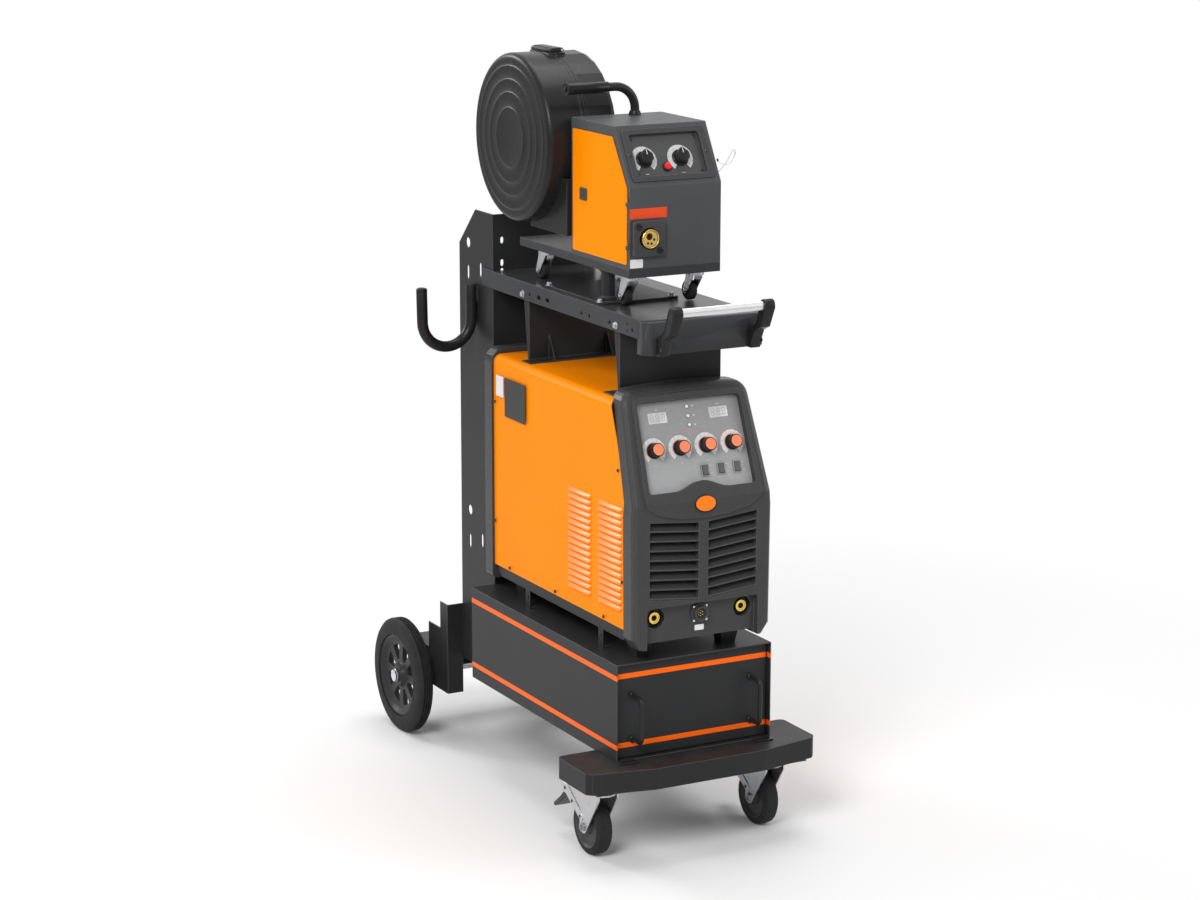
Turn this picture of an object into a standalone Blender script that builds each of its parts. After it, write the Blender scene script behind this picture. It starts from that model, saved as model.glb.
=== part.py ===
"""MIG welder on a cart: power source on a drawer cabinet, wire feeder on a shelf above it.

Metres, +Z up.  The machine's front faces -Y and its left side, with the feeder's door
and the hose hook, faces -X.  Every piece is modelled about the cart's middle plane,
and the root empty then centres the whole machine over the origin.
"""
import math

import bmesh
import bpy
from mathutils import Matrix, Vector

# ---------------------------------------------------------------- driving sizes
GAP = 0.0003                      # between pieces that touch
RUNNING = 0.0002                  # radial play of a turning fit
SLIDING = 0.0008                  # play of a sliding or tilting fit
SHEET = 0.0025                    # folded sheet of the cart
HOUSING_SHEET = 0.002             # folded sheet of the two housings
WELD = 0.001                      # how far welded pieces run into each other

# front casters
CASTER_HEIGHT = 0.168             # floor to the top of the caster's plate
CASTER_WHEEL_DIAMETER = 0.125
CASTER_WHEEL_WIDTH = 0.037
CASTER_TRAIL = 0.040
CASTER_INSET = 0.0735             # from the platform's end to the caster's middle
CASTER_Y = -0.342
CASTER_PLATE = 0.090
CASTER_PLATE_THICKNESS = 0.004
CASTER_CROWN_RADIUS = 0.033
FORK_SHEET = 0.003
CASTER_BOLT_RADIUS = 0.006

# rear wheels and their axle
REAR_WHEEL_DIAMETER = 0.275
REAR_WHEEL_WIDTH = 0.041
REAR_AXLE_Y = 0.662
REAR_AXLE_DIAMETER = 0.020
REAR_RIM_DIAMETER = 0.196
WHEEL_SPOKES = 8
TREAD_GROOVES = 2

# front platform
PLATFORM_WIDTH = 0.558
PLATFORM_BACK_Y = -0.278
PLATFORM_FRONT_Y = -0.447
PLATFORM_RISE = 0.052             # from the casters' plates to the platform's top
PLATFORM_SKIRT = 0.046
PLATFORM_NOSE = 0.264             # width of the straight front edge
PLATFORM_SIDE_END_Y = -0.407

# cabinet and drawer
CABINET_WIDTH = 0.376
CABINET_HEIGHT = 0.2133
CABINET_FRONT_Y = -0.376
CABINET_LENGTH = 0.6977
RUNNER_DEPTH = 0.0125
RUNNER_HEIGHT = 0.040
DRAWER_RECESS = 0.0124            # drawer front behind the cabinet's front edge
DRAWER_PLAY = 0.003
DRAWER_TUB_HEIGHT = 0.150
DRAWER_REACH = 0.600
DRAWER_HANDLE_WIRE = 0.009
DRAWER_HANDLE_SPAN = 0.096
DRAWER_HANDLE_REACH = 0.043

# column and bottle platform
COLUMN_WIDTH = 0.259
COLUMN_DEPTH = 0.173
COLUMN_SHEET = 0.003
COLUMN_HEIGHT = 1.072
COLUMN_CHAMFER = 0.085
CARRIER_WIDTH = 0.338
CARRIER_LENGTH = 0.222
CARRIER_SKIRT = 0.090
CARRIER_WALL = 0.127
CARRIER_STEP = 0.062
CARRIER_FLANGE = 0.040

# hose hook
HOOK_TUBE = 0.025
HOOK_RADIUS = 0.061
HOOK_TOP_Z = 1.120
HOOK_LEG = 0.079
HOOK_SPREAD = 0.0015

# power source
SOURCE_WIDTH = 0.316
SOURCE_BACK_Y = 0.262
SOURCE_FRONT_Y = -0.361
SOURCE_CLEARANCE = 0.043          # feet, from the cabinet's top to the base
SOURCE_BASE_HEIGHT = 0.0235
SOURCE_COVER_HEIGHT = 0.483
SOURCE_BEND_HEIGHT = 0.279        # where the sloping front starts, above the cover's edge
SOURCE_FACE_ANGLE = math.radians(20.5)
SOURCE_TOP_ROUND = 0.018
BEZEL_DEPTH = 0.0467
BEZEL_LIP = 0.022                 # how far the bezel stands above the cover
BEZEL_SIDE = 0.009                # and out from the cover's sides
BEZEL_ROUND = 0.018
SHIELD_HEIGHT = 0.006             # how far the inner panel stands off the bezel
PANEL_RECESS = 0.015
CONNECTOR_RECESS = 0.017
SOCKET_SPACING = 0.210
CONNECTOR_RISE = 0.028            # sockets' middle above the cover's edge
KNOB_PITCH = 0.0625
GRILLE_SLATS = 8
LOUVRES = 16
LOUVRE_PITCH = 0.0142

# shelf and the feeder's post
SHELF_LENGTH = 0.750
SHELF_FRONT_Y = -0.375
SHELF_SKIRT = 0.040
SHELF_RISE = 0.177                # from the source's top to the shelf's floor
APRON_WIDTH = 0.286
APRON_DEPTH = 0.035
APRON_HEIGHT = 0.068
APRON_ROUND = 0.020
SUPPORT_FRONT_Y = -0.262
SUPPORT_REAR_Y = 0.157
SUPPORT_DEPTH = 0.030
SUPPORT_FOOT = 0.038
SUPPORT_EAR = 0.018               # how far the foot stands out past each side
GUSSET_X = 0.072
GUSSET_HEIGHT = 0.055
HANDLE_ARM_WIDTH = 0.024
HANDLE_SPACING = 0.216            # middle to middle of the arms
HANDLE_REACH = 0.076              # from the apron to the front of the arms
HANDLE_BAR_HEIGHT = 0.020
HANDLE_BAR_DEPTH = 0.014
POST_X = -0.092
POST_Y = -0.155
POST_DIAMETER = 0.030
PIVOT_PIN_RADIUS = 0.008
POST_PLATE_HEIGHT = 0.005
POST_PLATE_LENGTH = 0.260
POST_PLATE_RIGHT_X = 0.066        # stays clear of the feeder's right casters as it swings

# wire feeder
FEEDER_CASTER_HEIGHT = 0.0705
FEEDER_WHEEL_DIAMETER = 0.043
FEEDER_WHEEL_WIDTH = 0.018
FEEDER_TRAIL = 0.022
FEEDER_CASTER_SPREAD = 0.156
FEEDER_CASTER_FRONT_Y = -0.225
FEEDER_CASTER_BACK_Y = 0.155
PAN_WIDTH = 0.2176
PAN_FRONT_Y = -0.278
PAN_LENGTH = 0.505
PAN_HEIGHT = 0.0182
CASE_DEPTH = 0.2578
CASE_HEIGHT = 0.2906
CASE_NOSE_HEIGHT = 0.1708
CASE_TOP_DEPTH = 0.1896
DOOR_MARGIN = 0.009               # dark border left around the door
DOOR_SHEET = 0.0016
DRUM_RADIUS = 0.183
DRUM_Y = 0.170
DRUM_RISE = 0.2293                # drum's middle above the pan's top
DRUM_LEFT_X = -0.158
DRUM_RIGHT_X = 0.010
DRUM_SEAM_X = -0.065
DRUM_WALL = 0.003
LATCH_HALF = 0.045                # half the length of the cover's latch
LATCH_THICKNESS = 0.0104
LATCH_REACH = 0.031               # from the latch's pivot to its lip
DRUM_SIDES = 28
HINGE_PIN = 0.0016
HINGE_KNUCKLE = 0.020             # length of each knuckle of the lid's hinge
DRUM_RINGS = (0.067, 0.112, 0.157)
DRUM_STEP = 0.0012                # height of each ring's step
SPOOL_DIAMETER = 0.300
SPOOL_WIDTH = 0.103
SPINDLE_RADIUS = 0.025
HANDLE_TUBE = 0.019
GRIP_DIAMETER = 0.023
GRIP_RISE = 0.062                 # grip's middle above the case's top
GRIP_REACH = 0.115
EURO_X = -0.067
DOOR_KNUCKLES = (0.050, 0.140)    # heights of the door's hinges above the case's bottom

# ---------------------------------------------------------------- derived places
PLATFORM_TOP = CASTER_HEIGHT + PLATFORM_RISE
CASTER_AXLE_Z = CASTER_WHEEL_DIAMETER / 2
REAR_AXLE_Z = REAR_WHEEL_DIAMETER / 2
CARRIER_TOP = PLATFORM_TOP - 0.002
CABINET_BOTTOM = PLATFORM_TOP + GAP
CABINET_TOP = CABINET_BOTTOM + CABINET_HEIGHT
CABINET_BACK_Y = CABINET_FRONT_Y + CABINET_LENGTH
COLUMN_FRONT_Y = CABINET_BACK_Y + GAP
COLUMN_BACK_Y = COLUMN_FRONT_Y + COLUMN_DEPTH
COLUMN_BOTTOM = CARRIER_TOP - SHEET
COLUMN_TOP = COLUMN_BOTTOM + COLUMN_HEIGHT
COLUMN_X = COLUMN_WIDTH / 2
SOURCE_BASE_Z = CABINET_TOP + SOURCE_CLEARANCE
COVER_BOTTOM = SOURCE_BASE_Z + SOURCE_BASE_HEIGHT + GAP
COVER_TOP = COVER_BOTTOM + SOURCE_COVER_HEIGHT
COVER_BEND_Z = COVER_BOTTOM + SOURCE_BEND_HEIGHT
SHELF_TOP = COVER_TOP + SHELF_RISE
SHELF_X = COLUMN_X + GAP + SHEET
PAN_BOTTOM = SHELF_TOP + FEEDER_CASTER_HEIGHT
PAN_TOP = PAN_BOTTOM + PAN_HEIGHT
CASE_BOTTOM = PAN_TOP + GAP
CASE_TOP = CASE_BOTTOM + CASE_HEIGHT
CASE_BACK_Y = PAN_FRONT_Y + CASE_DEPTH
DRUM_Z = PAN_TOP + DRUM_RISE
FRONT_END_Y = SHELF_FRONT_Y - APRON_DEPTH - GAP - HANDLE_REACH
BACK_END_Y = REAR_AXLE_Y + REAR_WHEEL_DIAMETER / 2
CENTRE_Y = -(FRONT_END_Y + BACK_END_Y) / 2    # brings the middle of its length over the origin

# ---------------------------------------------------------------- finishes
FINISHES = {
    "black_powder": ((0.035, 0.036, 0.038), 0.55, 0.0),
    "black_plastic": ((0.030, 0.031, 0.033), 0.45, 0.0),
    "orange_paint": ((1.0, 0.29, 0.0), 0.40, 0.0),
    "salmon_plastic": ((0.95, 0.30, 0.14), 0.40, 0.0),
    "grey_plate": ((0.16, 0.16, 0.165), 0.50, 0.0),
    "zinc": ((0.62, 0.63, 0.65), 0.35, 1.0),
    "bright_steel": ((0.72, 0.72, 0.73), 0.25, 1.0),
    "satin_aluminium": ((0.78, 0.79, 0.80), 0.32, 1.0),
    "brass": ((0.85, 0.60, 0.20), 0.28, 1.0),
    "black_rubber": ((0.022, 0.022, 0.023), 0.75, 0.0),
    "grey_hub": ((0.10, 0.10, 0.105), 0.55, 0.0),
    "red_plastic": ((0.75, 0.03, 0.03), 0.30, 0.0),
    "copper_wire": ((0.80, 0.45, 0.28), 0.30, 1.0),
}


def finish_material(name):
    """Material of a finish, made once."""
    found = bpy.data.materials.get(name)
    if found:
        return found
    colour, roughness, metallic = FINISHES[name]
    material = bpy.data.materials.new(name)
    material.use_nodes = True
    shader = material.node_tree.nodes["Principled BSDF"]
    shader.inputs["Base Color"].default_value = (*colour, 1.0)
    shader.inputs["Roughness"].default_value = roughness
    shader.inputs["Metallic"].default_value = metallic
    material.diffuse_color = (*colour, 1.0)
    return material


# ---------------------------------------------------------------- outlines
def arc(centre, radius, start, stop, steps):
    """Points on a circle in a plane, between two angles in degrees."""
    points = []
    for step in range(steps + 1):
        angle = math.radians(start + (stop - start) * step / steps)
        points.append((centre[0] + radius * math.cos(angle), centre[1] + radius * math.sin(angle)))
    return points


def rectangle(a_low, a_high, b_low, b_high):
    return [(a_low, b_low), (a_high, b_low), (a_high, b_high), (a_low, b_high)]


def rounded(points, radii, steps=4):
    """Closed outline with some corners rounded; radii maps a corner's index to its radius."""
    result = []
    count = len(points)
    for index, point in enumerate(points):
        radius = radii.get(index, 0.0) if isinstance(radii, dict) else radii
        if not radius:
            result.append(point)
            continue
        corner = Vector(point)
        to_last = (Vector(points[index - 1]) - corner).normalized()
        to_next = (Vector(points[(index + 1) % count]) - corner).normalized()
        half = to_last.angle(to_next) / 2
        setback = radius / math.tan(half)
        centre = corner + (to_last + to_next).normalized() * (radius / math.sin(half))
        first = corner + to_last * setback - centre
        last = corner + to_next * setback - centre
        turn = first.angle_signed(last)
        for step in range(steps + 1):
            spoke = first.copy()
            spoke.rotate(Matrix.Rotation(-turn * step / steps, 2))
            result.append(tuple(centre + spoke))
    return result


def inset(points, distance):
    """Closed outline moved inwards by a distance, or outwards by a negative one."""
    area = sum(a[0] * b[1] - b[0] * a[1] for a, b in zip(points, points[1:] + points[:1]))
    side = distance if area > 0 else -distance
    result = []
    for index, point in enumerate(points):
        back = (Vector(point) - Vector(points[index - 1])).normalized()
        ahead = (Vector(points[(index + 1) % len(points)]) - Vector(point)).normalized()
        normal = Vector((-back.y - ahead.y, back.x + ahead.x)).normalized()
        stretch = normal.dot(Vector((-back.y, back.x)))
        result.append(tuple(Vector(point) + normal * (side / stretch)))
    return result


def mirrored_outline(points):
    """Closed outline of a half, given from one end on the middle line to the other."""
    return points + [(-a, b) for a, b in reversed(points) if abs(a) > 1e-9]


def bore(radius, sides, play=RUNNING):
    """Radius of a faceted hole whose flats clear a pin of the given radius."""
    return (radius + play) / math.cos(math.pi / sides)


# ---------------------------------------------------------------- solids
def as_object(mesh_data, name="piece"):
    bmesh.ops.recalc_face_normals(mesh_data, faces=mesh_data.faces)
    mesh = bpy.data.meshes.new(name)
    mesh_data.to_mesh(mesh)
    mesh_data.free()
    piece = bpy.data.objects.new(name, mesh)
    bpy.context.collection.objects.link(piece)
    return piece


def prism(outline, axis, low, high):
    """Straight solid: an outline in the plane across an axis, from low to high along it."""
    place = {
        "X": lambda a, b, c: (c, a, b),
        "Y": lambda a, b, c: (a, c, b),
        "Z": lambda a, b, c: (a, b, c),
    }[axis]
    shape = bmesh.new()
    face = shape.faces.new([shape.verts.new(place(a, b, low)) for a, b in outline])
    grown = bmesh.ops.extrude_face_region(shape, geom=[face])
    top = [item for item in grown["geom"] if isinstance(item, bmesh.types.BMVert)]
    bmesh.ops.translate(shape, verts=top, vec=place(0, 0, high - low))
    return as_object(shape)


def block(x_low, x_high, y_low, y_high, z_low, z_high):
    return prism(rectangle(x_low, x_high, y_low, y_high), "Z", z_low, z_high)


def revolve(profile, axis, centre, sides):
    """Turned solid: closed profile of (along, radius) points, spun about an axis.

    A corner of the solid points down, or to -X on a vertical axis.
    """
    place = {
        "X": lambda along, r, c, s: (along, r * s, -r * c),
        "Y": lambda along, r, c, s: (r * s, along, -r * c),
        "Z": lambda along, r, c, s: (-r * c, r * s, along),
    }[axis]
    shape = bmesh.new()
    rings = []
    for along, radius in profile:
        if radius < 1e-7:
            rings.append([shape.verts.new(place(along, 0.0, 1.0, 0.0))] * sides)
            continue
        ring = []
        for side in range(sides):
            turn = 2 * math.pi * side / sides
            ring.append(shape.verts.new(place(along, radius, math.cos(turn), math.sin(turn))))
        rings.append(ring)
    for ring, following in zip(rings, rings[1:] + rings[:1]):
        for side in range(sides):
            corners = [ring[side], ring[side - 1], following[side - 1], following[side]]
            unique = list(dict.fromkeys(corners))
            if len(unique) > 2:
                shape.faces.new(unique)
    bmesh.ops.translate(shape, verts=shape.verts, vec=centre)
    return as_object(shape)


def rod(axis, centre, low, high, radius, sides=16):
    """Round bar along an axis; centre gives its place across the axis."""
    profile = [(low, 0.0), (low, radius), (high, radius), (high, 0.0)]
    return revolve(profile, axis, centre, sides)


def ring(axis, centre, low, high, inner, outer, sides=24):
    profile = [(low, inner), (low, outer), (high, outer), (high, inner)]
    return revolve(profile, axis, centre, sides)


def tube(path, radius, sides=12):
    """Round bar swept along a path of points, with flat ends."""
    points = [Vector(point) for point in path]
    shape = bmesh.new()
    heading = (points[1] - points[0]).normalized()
    across = heading.orthogonal().normalized()
    rings = []
    for index, point in enumerate(points):
        before = points[max(index - 1, 0)]
        after = points[min(index + 1, len(points) - 1)]
        direction = (after - before).normalized()
        across = (across - direction * across.dot(direction)).normalized()
        upward = direction.cross(across)
        corners = []
        for side in range(sides):
            turn = 2 * math.pi * side / sides
            spoke = across * math.cos(turn) + upward * math.sin(turn)
            corners.append(shape.verts.new(point + spoke * radius))
        rings.append(corners)
    for first, second in zip(rings, rings[1:]):
        for side in range(sides):
            shape.faces.new([first[side - 1], first[side], second[side], second[side - 1]])
    shape.faces.new(rings[0])
    shape.faces.new(rings[-1])
    return as_object(shape)


def taper(low_outline, low, high_outline, high):
    """Solid between two like outlines at two heights."""
    shape = bmesh.new()
    lower = [shape.verts.new((x, y, low)) for x, y in low_outline]
    upper = [shape.verts.new((x, y, high)) for x, y in high_outline]
    shape.faces.new(lower)
    shape.faces.new(upper)
    for index in range(len(lower)):
        shape.faces.new([lower[index - 1], lower[index], upper[index], upper[index - 1]])
    return as_object(shape)


# ---------------------------------------------------------------- working on solids
def boolean(target, operation, tools):
    """Join, cut or intersect a solid with others, which are used up."""
    for tool in tools:
        modifier = target.modifiers.new("shape", "BOOLEAN")
        modifier.operation = operation
        modifier.solver = "EXACT"
        modifier.object = tool
    bpy.context.view_layer.update()
    evaluated = target.evaluated_get(bpy.context.evaluated_depsgraph_get())
    result = bpy.data.meshes.new_from_object(evaluated)
    target.modifiers.clear()
    worn = target.data
    target.data = result
    bpy.data.meshes.remove(worn)
    for tool in tools:
        mesh = tool.data
        bpy.data.objects.remove(tool)
        bpy.data.meshes.remove(mesh)
    return target


def cut(target, *tools):
    return boolean(target, "DIFFERENCE", tools)


def join(target, *tools):
    return boolean(target, "UNION", tools)


def meet(target, *tools):
    return boolean(target, "INTERSECT", tools)


def moved(piece, matrix):
    """Apply a transform to a solid's mesh."""
    piece.data.transform(matrix)
    if matrix.determinant() < 0:
        piece.data.flip_normals()
    return piece


def shifted(piece, x=0.0, y=0.0, z=0.0):
    return moved(piece, Matrix.Translation((x, y, z)))


def copied(piece, matrix):
    twin = bpy.data.objects.new("piece", piece.data.copy())
    bpy.context.collection.objects.link(twin)
    return moved(twin, matrix)


def twin_of(piece):
    """Mirror image of a solid on the other side of the cart."""
    return copied(piece, Matrix.Scale(-1, 4, (1, 0, 0)))


def grouped(*pieces):
    """Separate solids as one object."""
    shape = bmesh.new()
    for piece in pieces:
        shape.from_mesh(piece.data)
        mesh = piece.data
        bpy.data.objects.remove(piece)
        bpy.data.meshes.remove(mesh)
    return as_object(shape)


def face_frame(y, z, angle):
    """Frame of a sloping front face: X across, Y up the slope, Z straight out of it."""
    up = Vector((0.0, math.sin(angle), math.cos(angle)))
    out = Vector((0.0, -math.cos(angle), math.sin(angle)))
    frame = Matrix.Identity(4)
    for column, axis in enumerate((Vector((1, 0, 0)), up, out)):
        for row in range(3):
            frame[row][column] = axis[row]
    frame.translation = (0.0, y, z)
    return frame


ROOT = None


def part(piece, name, finish, pivot=(0.0, 0.0, 0.0)):
    """Finish a piece: name, finish, smooth round faces, and its origin on its pivot."""
    piece.name = name
    piece.data.name = name
    piece.data.transform(Matrix.Translation(-Vector(pivot)))
    piece.location = pivot
    piece.parent = ROOT
    piece.data.materials.clear()
    piece.data.materials.append(finish_material(finish))
    piece.data.shade_smooth()
    piece.data.set_sharp_from_angle(angle=math.radians(35))
    return piece


# ---------------------------------------------------------------- cart: front end
def platform_outline():
    half = PLATFORM_WIDTH / 2
    nose = PLATFORM_NOSE / 2
    bend = (half - 0.011, PLATFORM_SIDE_END_Y - 0.013)
    side = [(0.0, PLATFORM_FRONT_Y), (nose, PLATFORM_FRONT_Y), bend]
    side += [(half, PLATFORM_SIDE_END_Y), (half, PLATFORM_BACK_Y), (0.0, PLATFORM_BACK_Y)]
    return mirrored_outline(side)


def front_platform():
    """Folded pan with a channel and a caster's top plate under each front corner."""
    outline = platform_outline()
    corners = {index: 0.012 for index, point in enumerate(outline)
               if abs(point[0]) > PLATFORM_WIDTH / 2 - WELD and point[1] == PLATFORM_BACK_Y}
    pan = prism(rounded(outline, corners), "Z", PLATFORM_TOP - PLATFORM_SKIRT, PLATFORM_TOP)
    hollow = prism(inset(outline, SHEET), "Z", CASTER_HEIGHT - WELD, PLATFORM_TOP - SHEET)
    cut(pan, hollow)
    reach = CASTER_PLATE / 2 + 0.005
    front = CASTER_Y - CASTER_PLATE / 2 - 0.030
    back = PLATFORM_BACK_Y - SHEET - 0.002
    for side in (-1, 1):
        middle = side * (PLATFORM_WIDTH / 2 - CASTER_INSET)
        channel = block(middle - reach, middle + reach, front, back,
                        CASTER_HEIGHT, PLATFORM_TOP - SHEET + WELD)
        cut(channel, block(middle - reach + SHEET, middle + reach - SHEET, front - WELD, back + WELD,
                           CASTER_HEIGHT + SHEET, PLATFORM_TOP))
        join(pan, channel, caster_plate(middle))
    return part(pan, "front_platform", "black_powder")


def caster_plate(middle):
    """Top plate of a front caster with its kingpin, welded under the channel."""
    top = CASTER_HEIGHT + WELD
    low = CASTER_HEIGHT - CASTER_PLATE_THICKNESS
    half = CASTER_PLATE / 2
    outline = rectangle(middle - half, middle + half, CASTER_Y - half, CASTER_Y + half)
    plate = prism(rounded(outline, 0.010, 2), "Z", low, top)
    pin = revolve([(top - WELD, 0.0), (low - 0.018, 0.0), (low - 0.018, 0.006), (low - 0.004, 0.006),
                   (low - 0.004, 0.024), (top - WELD, 0.024)], "Z", (middle, CASTER_Y, 0), 16)
    return join(plate, pin)


def fork_cheek_outline():
    """Side plate of a front fork: wide at the crown, narrow at the wheel's bolt."""
    top = CASTER_HEIGHT - CASTER_PLATE_THICKNESS - 0.0118
    axle = (CASTER_Y + CASTER_TRAIL, CASTER_AXLE_Z)
    points = [(CASTER_Y - 0.030, top), (CASTER_Y - 0.030, top - 0.012)]
    points += arc(axle, 0.015, 200, 345, 4)
    points += [(CASTER_Y + 0.060, top - 0.048), (CASTER_Y + 0.124, top - 0.036)]
    points += [(CASTER_Y + 0.124, top - 0.026), (CASTER_Y + 0.060, top)]
    return points


def brake_pivot():
    return CASTER_Y + 0.088, CASTER_HEIGHT - 0.049


def caster_fork(side, name):
    """Fork with its crown, two cheeks, the wheel's bolt and the pedal's pin."""
    middle = side * (PLATFORM_WIDTH / 2 - CASTER_INSET)
    crown_top = CASTER_HEIGHT - GAP - CASTER_PLATE_THICKNESS - 0.004
    inner = CASTER_WHEEL_WIDTH / 2 + 0.002
    cheeks_top = CASTER_HEIGHT - CASTER_PLATE_THICKNESS - 0.0118
    hole = bore(0.006, 12)
    fork = revolve([(crown_top, hole), (crown_top - 0.003, CASTER_CROWN_RADIUS - 0.004),
                    (crown_top - 0.010, CASTER_CROWN_RADIUS), (crown_top - 0.013, CASTER_CROWN_RADIUS),
                    (crown_top - 0.013, hole)][::-1], "Z", (middle, CASTER_Y, 0), 12)
    outline = fork_cheek_outline()
    for hand in (-1, 1):
        low, high = sorted((middle + hand * inner, middle + hand * (inner + FORK_SHEET)))
        join(fork, prism(outline, "X", low, high))
    bridge = block(middle - inner - WELD, middle + inner + WELD, CASTER_Y - 0.029, CASTER_Y - 0.008,
                   cheeks_top - FORK_SHEET, cheeks_top)
    join(fork, bridge)
    ends = inner + FORK_SHEET
    head = 0.005
    bolt = revolve([(-ends - head, 0.0), (-ends - head, 0.010), (-ends + WELD, 0.010),
                    (-ends + WELD, CASTER_BOLT_RADIUS), (ends - WELD, CASTER_BOLT_RADIUS),
                    (ends - WELD, 0.010), (ends + head, 0.010), (ends + head, 0.0)],
                   "X", (middle, CASTER_Y + CASTER_TRAIL, CASTER_AXLE_Z), 6)
    join(fork, bolt)
    pin = rod("X", (0, *brake_pivot()), middle - inner - WELD, middle + inner + WELD, 0.003, 8)
    join(fork, pin)
    return part(fork, name, "zinc", (middle, CASTER_Y, crown_top))


def caster_wheel(side, name):
    """Rubber tyre on a moulded hub."""
    middle = side * (PLATFORM_WIDTH / 2 - CASTER_INSET)
    radius = CASTER_WHEEL_DIAMETER / 2
    half = CASTER_WHEEL_WIDTH / 2
    hole = bore(CASTER_BOLT_RADIUS, 20)
    outside = [(half + 0.0015, hole), (half + 0.0015, 0.014), (half - 0.006, 0.018),
               (half - 0.006, radius - 0.019), (half, radius - 0.016), (half - 0.005, radius)]
    profile = [(-along, r) for along, r in outside] + outside[::-1]
    wheel = revolve(profile, "X", (middle, CASTER_Y + CASTER_TRAIL, CASTER_AXLE_Z), 20)
    return part(wheel, name, "black_rubber", (middle, CASTER_Y + CASTER_TRAIL, CASTER_AXLE_Z))


def brake_pedal(side, name):
    """Foot pedal behind the wheel, tipping on the fork's rear pin."""
    middle = side * (PLATFORM_WIDTH / 2 - CASTER_INSET)
    y, z = brake_pivot()
    half = CASTER_WHEEL_WIDTH / 2 + 0.002 - SLIDING
    outline = [(y - 0.008, z + 0.008), (y - 0.008, z - 0.007), (y + 0.006, z - 0.008),
               (y + 0.040, z - 0.016), (y + 0.056, z - 0.030), (y + 0.090, z - 0.053),
               (y + 0.094, z - 0.046), (y + 0.062, z - 0.018), (y + 0.045, z - 0.002), (y + 0.012, z + 0.008)]
    pedal = prism(outline, "X", middle - half, middle + half)
    cut(pedal, rod("X", (0, y, z), middle - half - WELD, middle + half + WELD, bore(0.003, 8), 8))
    return part(pedal, name, "black_plastic", (middle, y, z))


# ---------------------------------------------------------------- cart: cabinet
def runner_z():
    return CABINET_BOTTOM + CABINET_HEIGHT / 2 - RUNNER_HEIGHT / 2


def cabinet_shell():
    """Folded shell, open in front, with a runner channel on each side wall."""
    half = CABINET_WIDTH / 2
    shell = block(-half, half, CABINET_FRONT_Y, CABINET_BACK_Y, CABINET_BOTTOM, CABINET_TOP)
    cut(shell, block(-half + SHEET, half - SHEET, CABINET_FRONT_Y - WELD, CABINET_BACK_Y - SHEET,
                     CABINET_BOTTOM + SHEET, CABINET_TOP - SHEET))
    front = CABINET_FRONT_Y + DRAWER_RECESS + SHEET + 0.004
    low = runner_z()
    for side in (-1, 1):
        wall = side * (half - SHEET)
        x_low, x_high = sorted((wall + side * WELD, wall - side * RUNNER_DEPTH))
        channel = block(x_low, x_high, front, front + DRAWER_REACH, low, low + RUNNER_HEIGHT)
        slot_low, slot_high = sorted((wall - side * 0.002, wall - side * (RUNNER_DEPTH + WELD)))
        cut(channel, block(slot_low, slot_high, front - WELD, front + DRAWER_REACH + WELD,
                           low + 0.003, low + RUNNER_HEIGHT - 0.003))
        join(shell, channel)
    return part(shell, "cabinet_shell", "black_powder")


def drawer():
    """Drawer front with its handles, the tub and the rails that slide in the runners."""
    half = CABINET_WIDTH / 2 - SHEET - DRAWER_PLAY
    face = CABINET_FRONT_Y + DRAWER_RECESS
    front = block(-half, half, face, face + SHEET, CABINET_BOTTOM + SHEET + DRAWER_PLAY,
                  CABINET_TOP - SHEET - DRAWER_PLAY)
    tub_half = CABINET_WIDTH / 2 - SHEET - RUNNER_DEPTH - 0.002
    floor = CABINET_BOTTOM + SHEET + 0.006
    back = face + DRAWER_REACH
    tub = block(-tub_half, tub_half, face + WELD, back, floor, floor + DRAWER_TUB_HEIGHT)
    cut(tub, block(-tub_half + SHEET, tub_half - SHEET, face + SHEET, back - SHEET,
                   floor + SHEET, floor + DRAWER_TUB_HEIGHT + WELD))
    join(front, tub)
    low = runner_z() + 0.003 + SLIDING
    for side in (-1, 1):
        x_low, x_high = sorted((side * (tub_half - WELD), side * (tub_half + RUNNER_DEPTH - 0.002)))
        rail = block(x_low, x_high, face + SHEET + 0.006, back - 0.002, low,
                     runner_z() + RUNNER_HEIGHT - 0.003 - SLIDING)
        join(front, rail)
    x = CABINET_WIDTH / 2 - 0.044
    join(front, drawer_handle(-x), drawer_handle(x))
    return part(front, "drawer", "black_powder")


def drawer_handle(x):
    """Upright wire bow, welded to the drawer's front."""
    radius = DRAWER_HANDLE_WIRE / 2
    root = CABINET_FRONT_Y + DRAWER_RECESS + WELD
    grip = root - DRAWER_HANDLE_REACH
    middle = CABINET_BOTTOM + 0.0915
    high = middle + DRAWER_HANDLE_SPAN / 2
    low = middle - DRAWER_HANDLE_SPAN / 2
    bend = 0.012
    path = [(root, high)]
    path += arc((grip + bend, high - bend), bend, 90, 180, 2)
    path += arc((grip + bend, low + bend), bend, 180, 270, 2)
    path += [(root, low)]
    return tube([(x, y, z) for y, z in path], radius, 8)


# ---------------------------------------------------------------- cart: back end
def slot_tool(axis, a, b, low, high, width, length):
    """Upright oval cutter."""
    straight = (length - width) / 2
    outline = arc((a, b + straight), width / 2, 0, 180, 3) + arc((a, b - straight), width / 2, 180, 360, 3)
    return prism(outline, axis, low, high)


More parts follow.
